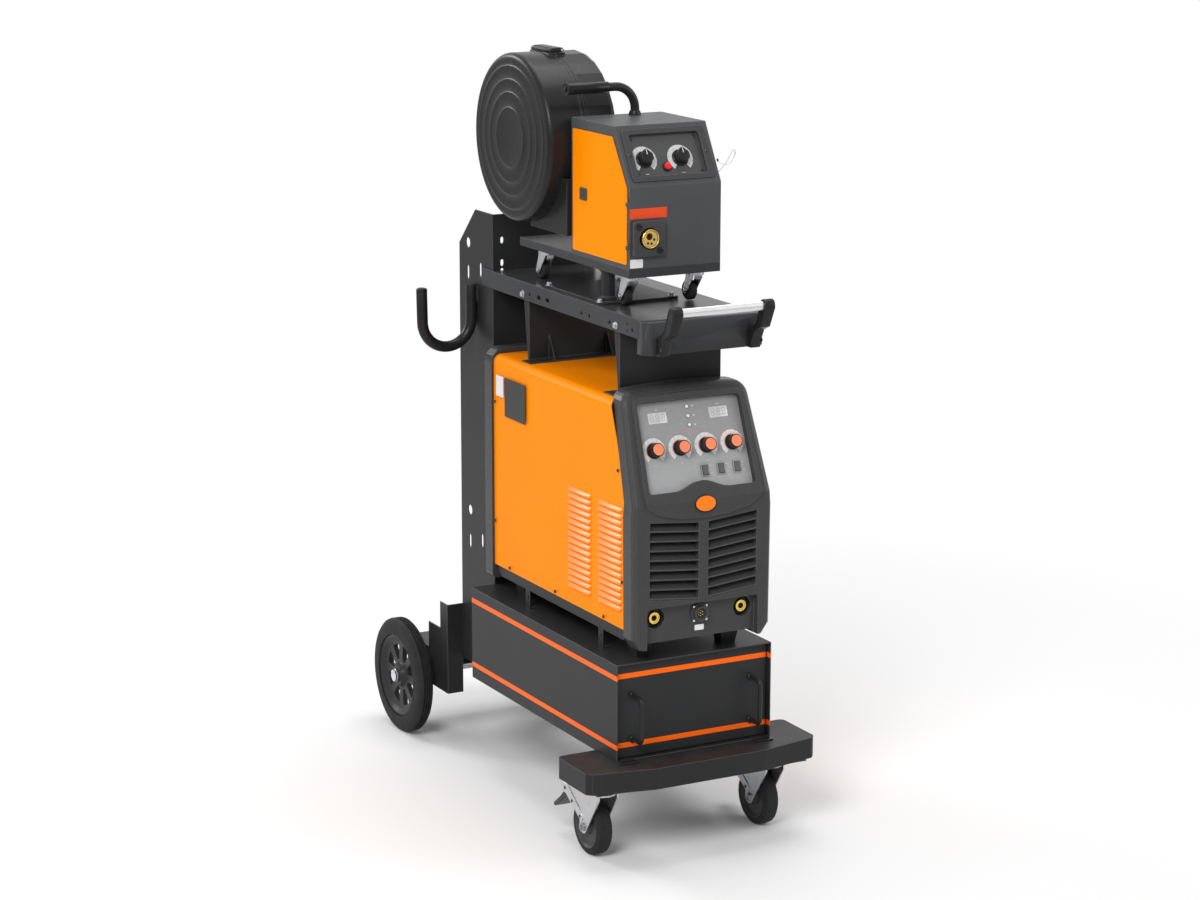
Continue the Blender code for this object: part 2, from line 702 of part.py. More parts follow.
def column():
    """Upright U-section, with hanging holes in its flanges and slots in its web."""
    back = COLUMN_BACK_Y
    post = block(-COLUMN_X, COLUMN_X, COLUMN_FRONT_Y, back, COLUMN_BOTTOM, COLUMN_TOP)
    cut(post, block(-COLUMN_X + COLUMN_SHEET, COLUMN_X - COLUMN_SHEET, COLUMN_FRONT_Y + COLUMN_SHEET,
                    back + WELD, COLUMN_BOTTOM - WELD, COLUMN_TOP + WELD))
    chamfer = [(back - COLUMN_CHAMFER, COLUMN_TOP + WELD), (back + WELD, COLUMN_TOP + WELD),
               (back + WELD, COLUMN_TOP - COLUMN_CHAMFER - WELD)]
    cut(post, prism(chamfer, "X", -COLUMN_X - WELD, COLUMN_X + WELD))
    across = (-COLUMN_X - WELD, COLUMN_X + WELD)
    for drop in (0.080, 0.706):
        cut(post, rod("X", (0, back - 0.045, COLUMN_TOP - drop), *across, 0.012, 12))
    for y_back, drop in ((0.044, 0.148), (0.108, 0.134), (0.044, 0.780), (0.108, 0.766)):
        cut(post, slot_tool("X", back - y_back, COLUMN_TOP - drop, *across, 0.013, 0.034))
    web = (COLUMN_FRONT_Y - WELD, COLUMN_FRONT_Y + COLUMN_SHEET + WELD)
    for drop in (0.059, 0.110, 0.130):
        for side in (-1, 1):
            cut(post, slot_tool("Y", side * 0.106, COLUMN_TOP - drop, *web, 0.008, 0.016))
    return part(post, "column", "black_powder")


def axle_carrier():
    """Bottle platform: floor, skirts with the axle's bosses, and stepped side walls above."""
    half = CARRIER_WIDTH / 2
    front = COLUMN_BACK_Y + GAP
    back = front + CARRIER_LENGTH
    skirt = CARRIER_TOP - CARRIER_SKIRT
    low = min(skirt, REAR_AXLE_Z - 0.024)
    side = [(front, skirt), (REAR_AXLE_Y - 0.050, skirt), (REAR_AXLE_Y - 0.024, low),
            (REAR_AXLE_Y + 0.024, low), (REAR_AXLE_Y + 0.050, skirt), (back, skirt), (back, CARRIER_TOP),
            (front + 0.105, CARRIER_TOP), (front + 0.105, CARRIER_TOP + CARRIER_STEP),
            (front + 0.040, CARRIER_TOP + CARRIER_STEP), (front + 0.040, CARRIER_TOP + CARRIER_WALL),
            (front, CARRIER_TOP + CARRIER_WALL)]
    body = prism(side, "X", -half, half)
    inner = half - SHEET
    cut(body, block(-inner, inner, front + SHEET, back - SHEET, low - WELD, CARRIER_TOP - SHEET))
    high = CARRIER_TOP + CARRIER_WALL + WELD
    cut(body, block(-inner, inner, front + SHEET, back + WELD, CARRIER_TOP, high))
    opening = half - CARRIER_FLANGE
    cut(body, block(-opening, opening, front - WELD, front + SHEET + WELD, low - WELD, CARRIER_TOP - SHEET))
    cut(body, block(-opening, opening, front - WELD, front + SHEET + WELD,
                    CARRIER_TOP, CARRIER_TOP + CARRIER_WALL + WELD))
    tongue = COLUMN_X - COLUMN_SHEET - GAP
    join(body, block(-tongue, tongue, COLUMN_FRONT_Y + COLUMN_SHEET + GAP, front + SHEET,
                     CARRIER_TOP - SHEET, CARRIER_TOP))
    cut(body, rod("X", (0, REAR_AXLE_Y, REAR_AXLE_Z), -half - WELD, half + WELD,
                  bore(REAR_AXLE_DIAMETER / 2, 12), 12))
    return part(body, "axle_carrier", "black_powder")


def rear_wheel_x():
    """Inner and outer face of the right rear wheel."""
    inner = CARRIER_WIDTH / 2 + 0.019
    return inner, inner + REAR_WHEEL_WIDTH


def rear_axle():
    """Axle rod with a spacer and an end nut at each wheel."""
    inner, outer = rear_wheel_x()
    skirt = CARRIER_WIDTH / 2
    radius = REAR_AXLE_DIAMETER / 2
    half = [(skirt + GAP, radius), (skirt + GAP, 0.017), (inner - GAP, 0.017), (inner - GAP, radius),
            (outer + GAP - 0.004, radius), (outer + GAP - 0.004, 0.0145), (outer + 0.006, 0.0145),
            (outer + 0.008, 0.008), (outer + 0.008, 0.0)]
    profile = [(-along, r) for along, r in reversed(half)] + half
    axle = revolve(profile, "X", (0, REAR_AXLE_Y, REAR_AXLE_Z), 12)
    return part(axle, "rear_axle", "bright_steel", (0, REAR_AXLE_Y, REAR_AXLE_Z))


def rear_rim(side, name):
    """Wheel disc with a stepped rim, windows between the spokes, and a hub ring."""
    inner, outer = rear_wheel_x()
    rim = REAR_RIM_DIAMETER / 2
    middle = (inner + outer) / 2
    hole = bore(REAR_AXLE_DIAMETER / 2, 20)
    profile = [(inner, hole), (inner, 0.024), (middle - 0.006, 0.028), (middle - 0.006, rim - 0.020),
               (inner + 0.004, rim - 0.012), (inner + 0.004, rim), (outer - 0.004, rim),
               (outer - 0.004, rim - 0.012), (middle + 0.006, rim - 0.020), (middle + 0.006, 0.028),
               (outer - 0.005, 0.024), (outer - 0.005, hole)]
    disc = revolve(profile, "X", (0, REAR_AXLE_Y, REAR_AXLE_Z), 20)
    centre = (REAR_AXLE_Y, REAR_AXLE_Z)
    spoke = 0.011
    for index in range(WHEEL_SPOKES):
        middle_angle = 360.0 * (index + 0.5) / WHEEL_SPOKES
        reach = 180.0 / WHEEL_SPOKES
        wide = reach - math.degrees(spoke / (rim - 0.026))
        narrow = reach - math.degrees(spoke / 0.036)
        window = arc(centre, rim - 0.026, middle_angle - wide, middle_angle + wide, 2)
        window += arc(centre, 0.036, middle_angle + narrow, middle_angle - narrow, 1)
        cut(disc, prism(window, "X", inner, outer))
    if side < 0:
        moved(disc, Matrix.Scale(-1, 4, (1, 0, 0)))
    return part(disc, name, "black_plastic", (side * middle, REAR_AXLE_Y, REAR_AXLE_Z))


def rear_tyre(side, name):
    """Solid rubber tyre with grooves round its tread."""
    inner, outer = rear_wheel_x()
    radius = REAR_WHEEL_DIAMETER / 2
    seat = bore(REAR_RIM_DIAMETER / 2, 24, GAP)
    tread = outer - inner - 0.016
    first = inner + 0.008
    profile = [(inner, seat), (inner + 0.0005, radius - 0.012), (first, radius)]
    for groove in range(TREAD_GROOVES):
        along = first + tread * (groove + 1) / (TREAD_GROOVES + 1)
        profile += [(along - 0.0018, radius), (along, radius - 0.003), (along + 0.0018, radius)]
    profile += [(outer - 0.008, radius), (outer - 0.0005, radius - 0.012), (outer, seat)]
    tyre = revolve(profile, "X", (0, REAR_AXLE_Y, REAR_AXLE_Z), 24)
    if side < 0:
        moved(tyre, Matrix.Scale(-1, 4, (1, 0, 0)))
    return part(tyre, name, "black_rubber", (side * (inner + outer) / 2, REAR_AXLE_Y, REAR_AXLE_Z))


def hose_hook():
    """Bent tube on the left of the column, a hook for the torch hose."""
    radius = HOOK_TUBE / 2
    y = COLUMN_FRONT_Y + COLUMN_DEPTH / 2
    x = -COLUMN_X - GAP - radius
    low = HOOK_TOP_Z - HOOK_LEG
    path = [(x, y, HOOK_TOP_Z)]
    path += [(a, y, b) for a, b in arc((x - HOOK_RADIUS, low), HOOK_RADIUS, 0, -180, 8)]
    path += [(x - 2 * HOOK_RADIUS - HOOK_SPREAD, y, HOOK_TOP_Z)]
    return part(tube(path, radius, 12), "hose_hook", "black_powder")


# ---------------------------------------------------------------- shelf
def shelf():
    """Tray with side skirts that run back past the column, and a rounded apron in front."""
    low = SHELF_TOP - SHELF_SKIRT
    back = SHELF_FRONT_Y + SHELF_LENGTH
    tray = block(-SHELF_X, SHELF_X, SHELF_FRONT_Y - WELD, back, low, SHELF_TOP)
    half = APRON_WIDTH / 2
    front = SHELF_FRONT_Y - APRON_DEPTH
    outline = rectangle(-half, half, front, SHELF_FRONT_Y)
    corners = {0: APRON_ROUND, 1: APRON_ROUND}
    join(tray, prism(rounded(outline, corners, 5), "Z", SHELF_TOP - APRON_HEIGHT, SHELF_TOP))
    inner = {0: APRON_ROUND - SHEET, 1: APRON_ROUND - SHEET}
    hollow = rounded(inset(outline, SHEET), inner, 5)
    cut(tray, prism(hollow, "Z", SHELF_TOP - APRON_HEIGHT - WELD, SHELF_TOP - SHEET))
    side = SHELF_X - SHEET
    cut(tray, block(-side, side, SHELF_FRONT_Y - SHEET - WELD, back + WELD,
                    SHELF_TOP - APRON_HEIGHT - WELD, SHELF_TOP - SHEET))
    cut(tray, block(-side, side, COLUMN_FRONT_Y - GAP, back + WELD, low - WELD, SHELF_TOP + WELD))
    return part(tray, "shelf", "black_powder")


def shelf_support(web, name, foot_ahead):
    """Folded upright on the source's cover: web, sides that taper down, foot and top flange."""
    low = COVER_TOP + GAP
    high = SHELF_TOP - SHEET - GAP
    half = SHELF_X - SHEET - 0.008
    upright = block(-half, half, web, web + SHEET, low + WELD, high)
    foot_half = half + SUPPORT_EAR
    if foot_ahead:
        foot = block(-foot_half, foot_half, web - SUPPORT_FOOT, web + SHEET - WELD, low, low + SHEET)
    else:
        foot = block(-foot_half, foot_half, web + WELD, web + SUPPORT_FOOT, low, low + SHEET)
    top = block(-half, half, web + WELD, web + SUPPORT_DEPTH, high - SHEET, high)
    join(upright, foot, top)
    for side in (-1, 1):
        x_low, x_high = sorted((side * half, side * (half - SHEET)))
        outline = [(web + WELD, low + WELD), (web + 0.006, low + WELD),
                   (web + SUPPORT_DEPTH - WELD / 2, high - WELD), (web + WELD, high - WELD)]
        join(upright, prism(outline, "X", x_low, x_high))
    if foot_ahead:
        toe = web - SUPPORT_FOOT + 0.008
        gusset = [(web + WELD, low + WELD), (toe, low + WELD), (web + WELD, low + GUSSET_HEIGHT)]
        for x in (-GUSSET_X, GUSSET_X):
            join(upright, prism(gusset, "X", x - SHEET / 2, x + SHEET / 2))
    return part(upright, name, "black_powder")


def handle_arm_outline():
    """Side view of a handle arm: up the apron, out over a bend, and up to the bar."""
    front = SHELF_FRONT_Y - APRON_DEPTH - GAP
    low = SHELF_TOP - APRON_HEIGHT
    outer = [(front - 0.018, low), (front - 0.022, low + 0.016), (front - 0.034, low + 0.040),
             (front - 0.056, low + 0.050), (front - HANDLE_REACH, low + 0.092)]
    crown = arc((front - HANDLE_REACH + 0.013, low + 0.097), 0.013, 155, 25, 5)
    inner = [(front - 0.034, low + 0.056), (front - 0.016, low + 0.044), (front, low + 0.036)]
    return outer + crown + inner + [(front, low)]


def handle_bar_place():
    """Middle of the bar, in Y and Z."""
    return SHELF_FRONT_Y - APRON_DEPTH - HANDLE_REACH + 0.013, SHELF_TOP - APRON_HEIGHT + 0.096


def push_handle():
    """Two moulded arms and the flat oval bar between them."""
    outline = handle_arm_outline()
    inner = HANDLE_SPACING / 2 - HANDLE_ARM_WIDTH / 2
    arm = prism(outline, "X", inner, inner + HANDLE_ARM_WIDTH)
    y, z = handle_bar_place()
    outline = rectangle(y - HANDLE_BAR_DEPTH / 2, y + HANDLE_BAR_DEPTH / 2,
                        z - HANDLE_BAR_HEIGHT / 2, z + HANDLE_BAR_HEIGHT / 2)
    reach = inner + WELD
    bar = prism(rounded(outline, 0.005, 3), "X", -reach, reach)
    return part(join(bar, arm, twin_of(arm)), "push_handle", "black_plastic")


def pivot_post():
    """Fixing plate on the shelf and the post about which the feeder swings."""
    plate_front = POST_Y - 0.025
    outline = rectangle(-SHELF_X + 0.012, POST_PLATE_RIGHT_X, plate_front, plate_front + POST_PLATE_LENGTH)
    low = SHELF_TOP + GAP
    post = prism(rounded(outline, 0.006, 2), "Z", low, low + POST_PLATE_HEIGHT)
    radius = POST_DIAMETER / 2
    shoulder = PAN_BOTTOM - GAP
    high = PAN_TOP - SHEET - GAP
    profile = [(low + WELD, 0.0), (low + WELD, radius + 0.004), (low + 0.013, radius + 0.004),
               (low + 0.015, radius), (shoulder, radius), (shoulder, PIVOT_PIN_RADIUS),
               (high, PIVOT_PIN_RADIUS), (high, 0.0)]
    join(post, revolve(profile, "Z", (POST_X, POST_Y, 0), 16))
    return part(post, "pivot_post", "black_powder", (POST_X, POST_Y, low))


# ---------------------------------------------------------------- power source
BEZEL_FRONT_Y = SOURCE_FRONT_Y - GAP - BEZEL_DEPTH
CONTROL_FACE = face_frame(BEZEL_FRONT_Y, COVER_BEND_Z - 0.002, SOURCE_FACE_ANGLE)
PANEL_OUT = SHIELD_HEIGHT - PANEL_RECESS      # recess floor, out of the bezel's sloping face
KNOB_UP = 0.113                               # places up the slope
SWITCH_UP = 0.061
SWITCH_X = (0.018, 0.057, 0.096)


def source_base():
    """Base pan with four tapered feet and the brackets that hold it to the cabinet."""
    half = SOURCE_WIDTH / 2 - 0.003
    front = SOURCE_FRONT_Y + 0.017
    back = SOURCE_BACK_Y - 0.011
    top = COVER_BOTTOM - GAP
    side = [(front, SOURCE_BASE_Z), (back - 0.020, SOURCE_BASE_Z), (back, SOURCE_BASE_Z + 0.012),
            (back, top), (front, top)]
    base = prism(side, "X", -half, half)
    foot_top, foot_bottom = 0.023, 0.016
    for x in (-0.105, 0.105):
        for y in (front + 0.012, back - 0.060):
            def square(reach):
                return rectangle(x - reach, x + reach, y - reach + 0.012, y + reach + 0.012)
            join(base, taper(square(foot_bottom), CABINET_TOP + GAP, square(foot_top), SOURCE_BASE_Z + WELD))
    for x in (-half + 0.004, half - 0.004):
        for y in (front + 0.108, back - 0.142):
            inward = -0.016 if x > 0 else 0.016
            plate = prism(rectangle(y - 0.010, y + 0.010, CABINET_TOP + GAP, SOURCE_BASE_Z + WELD), "X",
                          x - 0.0015, x + 0.0015)
            x_low, x_high = sorted((x, x + inward))
            join(plate, block(x_low, x_high, y - 0.010, y + 0.010, CABINET_TOP + GAP, CABINET_TOP + 0.003))
            cut(plate, slot_tool("X", y - 0.003, SOURCE_BASE_Z - 0.018, x - 0.003, x + 0.003, 0.006, 0.014))
            join(base, plate)
    return part(base, "source_base", "black_powder")


def louvre(side, y_front, z):
    """Raised slat of a cover side, open at its front end."""
    x = side * (SOURCE_WIDTH / 2 - WELD)
    out = side * 0.0052
    length = 0.102
    shape = bmesh.new()
    low, high = z - 0.0045, z + 0.0045
    corners = [(x, y_front, low), (x, y_front, high), (x + out, y_front, low + 0.0015),
               (x, y_front + length, low), (x, y_front + length, high),
               (x + out, y_front + length - 0.006, low + 0.0015)]
    points = [shape.verts.new(corner) for corner in corners]
    for face in ((0, 1, 2), (3, 5, 4), (0, 2, 5, 3), (2, 1, 4, 5), (1, 0, 3, 4)):
        shape.faces.new([points[index] for index in face])
    return as_object(shape)


def source_cover():
    """Folded cover, open below and at both ends, with rows of louvres in its sides."""
    half = SOURCE_WIDTH / 2
    outline = rectangle(-half, half, COVER_BOTTOM, COVER_TOP)
    round_top = {2: SOURCE_TOP_ROUND, 3: SOURCE_TOP_ROUND}
    cover = prism(rounded(outline, round_top, 5), "Y", SOURCE_FRONT_Y, SOURCE_BACK_Y)
    inner = inset(outline, HOUSING_SHEET)
    inner_round = {2: SOURCE_TOP_ROUND - HOUSING_SHEET, 3: SOURCE_TOP_ROUND - HOUSING_SHEET}
    hollow = rounded([(a, b if b > COVER_BEND_Z else COVER_BOTTOM - WELD) for a, b in inner], inner_round, 5)
    cut(cover, prism(hollow, "Y", SOURCE_FRONT_Y - WELD, SOURCE_BACK_Y + WELD))
    top = COVER_TOP + WELD
    lean = math.tan(SOURCE_FACE_ANGLE)
    front = SOURCE_FRONT_Y - 0.010
    wedge = [(front, COVER_BEND_Z - 0.010 / lean), (SOURCE_FRONT_Y + (top - COVER_BEND_Z) * lean, top),
             (front, top)]
    cut(cover, prism(wedge, "X", -half - WELD, half + WELD))
    rows = []
    for side in (-1, 1):
        for y_front in (SOURCE_FRONT_Y + 0.020, SOURCE_FRONT_Y + 0.158):
            for row in range(LOUVRES):
                rows.append(louvre(side, y_front, COVER_BEND_Z - 0.024 - row * LOUVRE_PITCH))
    join(cover, grouped(*rows))
    return part(cover, "source_cover", "orange_paint")


def source_rear_bezel():
    """Hoop behind the cover with a back panel, its fan guard openings and the cable inlet."""
    half = SOURCE_WIDTH / 2 + 0.006
    front = SOURCE_BACK_Y + GAP
    back = front + 0.0335
    outline = rectangle(-half, half, SOURCE_BASE_Z - 0.010, COVER_TOP + 0.012)
    bezel = prism(rounded(outline, {0: 0.012, 1: 0.012, 2: 0.030, 3: 0.030}, 3), "Y", front, back)
    pocket = rounded(inset(outline, 0.014), {0: 0.006, 1: 0.006, 2: 0.020, 3: 0.020}, 2)
    cut(bezel, prism(pocket, "Y", back - 0.014, back + WELD))
    fan = COVER_TOP - 0.165
    for radius in (0.035, 0.060, 0.085):
        for turn in range(4):
            start = turn * 90 + 45 + 5
            slot = arc((0, fan), radius + 0.007, start, start + 80, 2)
            slot += arc((0, fan), radius - 0.007, start + 80, start, 2)
            cut(bezel, prism(slot, "Y", front - WELD, back))
    join(bezel, ring("Y", (0.080, 0, COVER_BOTTOM + 0.075), back - 0.015, back - 0.002, 0.008, 0.014, 12))
    return part(bezel, "source_rear_bezel", "black_plastic")


def bezel_outline():
    """Front view of the bezel: pillars that end lower than the middle, sides drawn in at the top."""
    half = SOURCE_WIDTH / 2 + BEZEL_SIDE
    foot = SOURCE_BASE_Z - 0.0095
    top = COVER_TOP + BEZEL_LIP
    right = [(0.0, SOURCE_BASE_Z), (half - 0.038, SOURCE_BASE_Z), (half - 0.034, foot), (half - 0.018, foot),
             (half - 0.002, foot + 0.022), (half, COVER_BEND_Z - 0.030), (half - 0.018, top - 0.004),
             (half - 0.070, top), (0.0, top + 0.004)]
    outline = mirrored_outline(right)
    corners = {index: 0.030 for index, point in enumerate(outline)
               if abs(abs(point[0]) - half + 0.018) < 1e-6 and point[1] > COVER_BEND_Z}
    return rounded(outline, corners, 5)


def sloped_band(out_front, out_back, low, high):
    """Side view of a wall that stands upright below the bend and slopes back above it."""
    lean = math.tan(SOURCE_FACE_ANGLE)
    bend = COVER_BEND_Z - 0.002
    rise = high - bend
    front = BEZEL_FRONT_Y - out_front
    back = BEZEL_FRONT_Y + out_back
    return [(front, low), (front, bend + out_front * 0.18), (front + rise * lean, high),
            (back + (high - COVER_BEND_Z) * lean, high), (back, COVER_BEND_Z), (back, low)]


def panel_outline(margin=0.0):
    """Window of the control panel up the slope: straight sides and a wave along the bottom."""
    low = 0.022 - margin
    half_low = 0.128 + margin
    half_high = 0.124 + margin
    high = 0.214 + margin
    bottom = []
    for step in range(-5, 6):
        x = 0.0625 * step / 5
        bottom.append((x, low + 0.018 * (0.5 + 0.5 * math.cos(math.pi * step / 5))))
    corners = [(-half_low, low)] + bottom + [(half_low, low), (half_high, high), (-half_high, high)]
    radii = {0: 0.006, len(corners) - 3: 0.006, len(corners) - 2: 0.010, len(corners) - 1: 0.010}
    return rounded(corners, radii, 2)


def bezel_shield():
    """Raised inner panel of the bezel, round the controls, with its curved lower edge."""
    low = COVER_BEND_Z - 0.040
    right = [(0.0, low), (0.060, low + 0.004), (0.110, low + 0.016), (0.138, low + 0.036),
             (0.140, low + 0.070), (0.131, COVER_TOP + 0.006), (0.0, COVER_TOP + 0.010)]
    outline = mirrored_outline(right)
    corners = {index: 0.014 for index, point in enumerate(outline)
               if abs(point[0]) > 0.13 and (point[1] < low + 0.05 or point[1] > COVER_TOP)}
    shield = prism(rounded(outline, corners, 4), "Y", BEZEL_FRONT_Y - 0.060, BEZEL_FRONT_Y + 0.150)
    band = sloped_band(SHIELD_HEIGHT, 0.004, low - WELD, COVER_TOP + 0.020)
    return meet(shield, prism(band, "X", -SOURCE_WIDTH, SOURCE_WIDTH))


def grille_window(side):
    """Opening of one half of the grille, rising outwards, and its slats."""
    inner, outer = 0.0115, 0.1285
    rise = 0.0115
    low, high = COVER_BOTTOM + 0.062, COVER_BOTTOM + 0.228
    depth = 0.020
    window = [(side * inner, low), (side * outer, low + rise),
              (side * outer, high + rise), (side * inner, high)]
    opening = prism(window, "Y", BEZEL_FRONT_Y - WELD, BEZEL_FRONT_Y + depth)
    slats = []
    pitch = (high - low) / GRILLE_SLATS
    for index in range(GRILLE_SLATS):
        base = low + pitch * index
        lean = [(BEZEL_FRONT_Y + 0.0005, base + 0.0010), (BEZEL_FRONT_Y + 0.0005, base + 0.0035),
                (BEZEL_FRONT_Y + depth - 0.002, base + 0.0155),
                (BEZEL_FRONT_Y + depth - 0.002, base + 0.0130)]
        shape = bmesh.new()
        ends = []
        for x, climb in ((inner - WELD, 0.0), (outer + WELD, rise)):
            ends.append([shape.verts.new((side * x, y, z + climb)) for y, z in lean])
        shape.faces.new(ends[0])
        shape.faces.new(ends[1])
        for corner in range(4):
            shape.faces.new([ends[0][corner - 1], ends[0][corner], ends[1][corner], ends[1][corner - 1]])
        slats.append(as_object(shape))
    return opening, slats


def round_front_edges(bezel):
    """Round the bezel's outer front edge."""
    shape = bmesh.new()
    shape.from_mesh(bezel.data)
    edges = []
    for edge in shape.edges:
        if len(edge.link_faces) != 2 or edge.calc_face_angle(0.0) < math.radians(35):
            continue
        fronts = [face for face in edge.link_faces if face.normal.y < -0.7]
        if len(fronts) == 1 and max(vert.co.z for vert in edge.verts) > SOURCE_BASE_Z + WELD:
            edges.append(edge)
    bmesh.ops.bevel(shape, geom=edges, offset=BEZEL_ROUND, segments=3, profile=0.5, affect="EDGES",
                    clamp_overlap=True, offset_type="OFFSET")
    shape.to_mesh(bezel.data)
    shape.free()
    return bezel


def source_front_bezel():
    """Moulded front: rounded frame, raised shield with the control recess, grille and connector recess."""
    foot = SOURCE_BASE_Z - 0.020
    top = COVER_TOP + BEZEL_LIP + 0.010
    bezel = prism(bezel_outline(), "Y", BEZEL_FRONT_Y - 0.050, BEZEL_FRONT_Y + 0.200)
    meet(bezel, prism(sloped_band(0.0, BEZEL_DEPTH, foot, top), "X", -0.2, 0.2))
    round_front_edges(bezel)
    join(bezel, bezel_shield())
    recess = prism(panel_outline(), "Z", PANEL_OUT - HOUSING_SHEET - GAP, SHIELD_HEIGHT + 0.010)
    cut(bezel, moved(recess, CONTROL_FACE))
    all_slats = []
    for side in (-1, 1):
        opening, slats = grille_window(side)
        cut(bezel, opening)
        all_slats += slats
    join(bezel, grouped(*all_slats))
    half = SOURCE_WIDTH / 2 - 0.024
    high = COVER_BOTTOM + 0.055
    pocket = rounded(rectangle(-half, half, SOURCE_BASE_Z - 0.030, high), {2: 0.006, 3: 0.006}, 2)
    cut(bezel, prism(pocket, "Y", BEZEL_FRONT_Y - WELD, BEZEL_FRONT_Y + CONNECTOR_RECESS))
    z = COVER_BOTTOM + CONNECTOR_RISE
    for x in (-SOCKET_SPACING / 2, SOCKET_SPACING / 2):
        cut(bezel, rod("Y", (x, 0, z), BEZEL_FRONT_Y, BEZEL_FRONT_Y + BEZEL_DEPTH - 0.006, 0.022, 16))
    cut(bezel, rod("Y", (0, 0, z), BEZEL_FRONT_Y, BEZEL_FRONT_Y + 0.036, 0.017, 14))
    return part(bezel, "source_front_bezel", "black_plastic")


def source_control_panel():
    """Printed sheet at the bottom of the recess, with openings for the switches."""
    sheet = prism(inset(panel_outline(), GAP), "Z", PANEL_OUT - HOUSING_SHEET, PANEL_OUT)
    for x in SWITCH_X:
        outline = rectangle(x - 0.0095, x + 0.0095, SWITCH_UP - 0.0135, SWITCH_UP + 0.0135)
        frame = prism(rounded(outline, 0.002, 2),
                      "Z", PANEL_OUT - WELD, PANEL_OUT + 0.002)
        join(sheet, frame)
        cut(sheet, prism(rectangle(x - 0.007, x + 0.007, SWITCH_UP - 0.011, SWITCH_UP + 0.011),
                         "Z", PANEL_OUT - 0.0025, PANEL_OUT + 0.003))
    moved(sheet, CONTROL_FACE)
    return part(sheet, "source_control_panel", "grey_plate")


def source_knob(index):
    """Ribbed knob with a coloured cap."""
    x = (index - 1.5) * KNOB_PITCH
    profile = [(0.0, 0.0), (0.0, 0.0165), (0.004, 0.0165), (0.005, 0.0145), (0.0195, 0.0138),
               (0.0215, 0.0122), (0.0215, 0.0)]
    knob = revolve([(PANEL_OUT + GAP + along, r) for along, r in profile], "Z", (x, KNOB_UP, 0), 14)
    moved(knob, CONTROL_FACE)
    pivot = CONTROL_FACE @ Vector((x, KNOB_UP, PANEL_OUT))
    return part(knob, f"source_knob_{index + 1}", "black_plastic", pivot)


def source_switch(index):
    """Rocker, tipping about its middle."""
    x = SWITCH_X[index]
    half_length = 0.011 - SLIDING
    half_width = 0.007 - SLIDING
    centre = (SWITCH_UP, PANEL_OUT + 0.0015)
    reach = ((-half_length, 0.0045), (-half_length + 0.001, -0.0005), (0.0, -0.0025),
             (half_length - 0.001, -0.0005), (half_length, 0.0045), (0.0, 0.0025))
    side = [(centre[0] + up, centre[1] + out) for up, out in reach]
    rocker = moved(prism(side, "X", x - half_width, x + half_width), CONTROL_FACE)
    return part(rocker, f"source_switch_{index + 1}", "black_plastic", CONTROL_FACE @ Vector((x, *centre)))


def source_socket(side, name):
    """Welding socket: brass barrel in its insulating flange."""
    x = side * SOCKET_SPACING / 2
    z = COVER_BOTTOM + CONNECTOR_RISE
    front = BEZEL_FRONT_Y + CONNECTOR_RECESS + 0.006
    bottom = BEZEL_FRONT_Y + BEZEL_DEPTH - 0.006 - GAP
    socket = revolve([(front, 0.0065), (front, 0.013), (bottom - 0.006, 0.013), (bottom - 0.006, 0.0205),
                      (bottom, 0.0205), (bottom, 0.0065)], "Y", (x, 0, z), 16)
    return part(socket, name, "brass")


def remote_connector():
    """Round control connector between the sockets."""
    z = COVER_BOTTOM + CONNECTOR_RISE
    wall = BEZEL_FRONT_Y + CONNECTOR_RECESS
    plug = revolve([(wall + 0.018, 0.0), (wall + 0.018, 0.0155), (wall - GAP, 0.0155), (wall - GAP, 0.0225),
                    (wall - 0.005, 0.0215), (wall - 0.005, 0.0145), (wall - 0.012, 0.0145),
                    (wall - 0.012, 0.012),
                    (wall - 0.004, 0.012), (wall - 0.004, 0.0)], "Y", (0, 0, z), 12)
    return part(plug, "remote_connector", "black_plastic")


# ---------------------------------------------------------------- wire feeder: pan and casters
CASE_X = PAN_WIDTH / 2
CASE_LEAN = math.atan2(CASE_DEPTH - CASE_TOP_DEPTH, CASE_HEIGHT - CASE_NOSE_HEIGHT)
FEEDER_FACE = face_frame(PAN_FRONT_Y, CASE_BOTTOM + CASE_NOSE_HEIGHT, CASE_LEAN)
FEEDER_KNOB_PLACES = ((-0.0555, 0.062), (0.0302, 0.061))
FEEDER_BUTTON_PLACE = (-0.0061, 0.043)
FEEDER_TRAY_DEPTH = 0.007
FEEDER_FRAME_X = 0.098            # half the width of the control frame
FEEDER_FRAME_LOW = 0.0105         # its edges up the slope
FEEDER_FRAME_HIGH = 0.1275
FEEDER_TRAY_X = 0.083             # half the width inside its tray
FEEDER_TRAY_LOW = 0.022
FEEDER_TRAY_HIGH = 0.116
FEEDER_TRAY_WALL = 0.003


def caster_places():
    """Swivel axes of the feeder's casters."""
    half = FEEDER_CASTER_SPREAD / 2
    return [(x, y) for y in (FEEDER_CASTER_FRONT_Y, FEEDER_CASTER_BACK_Y) for x in (-half, half)]


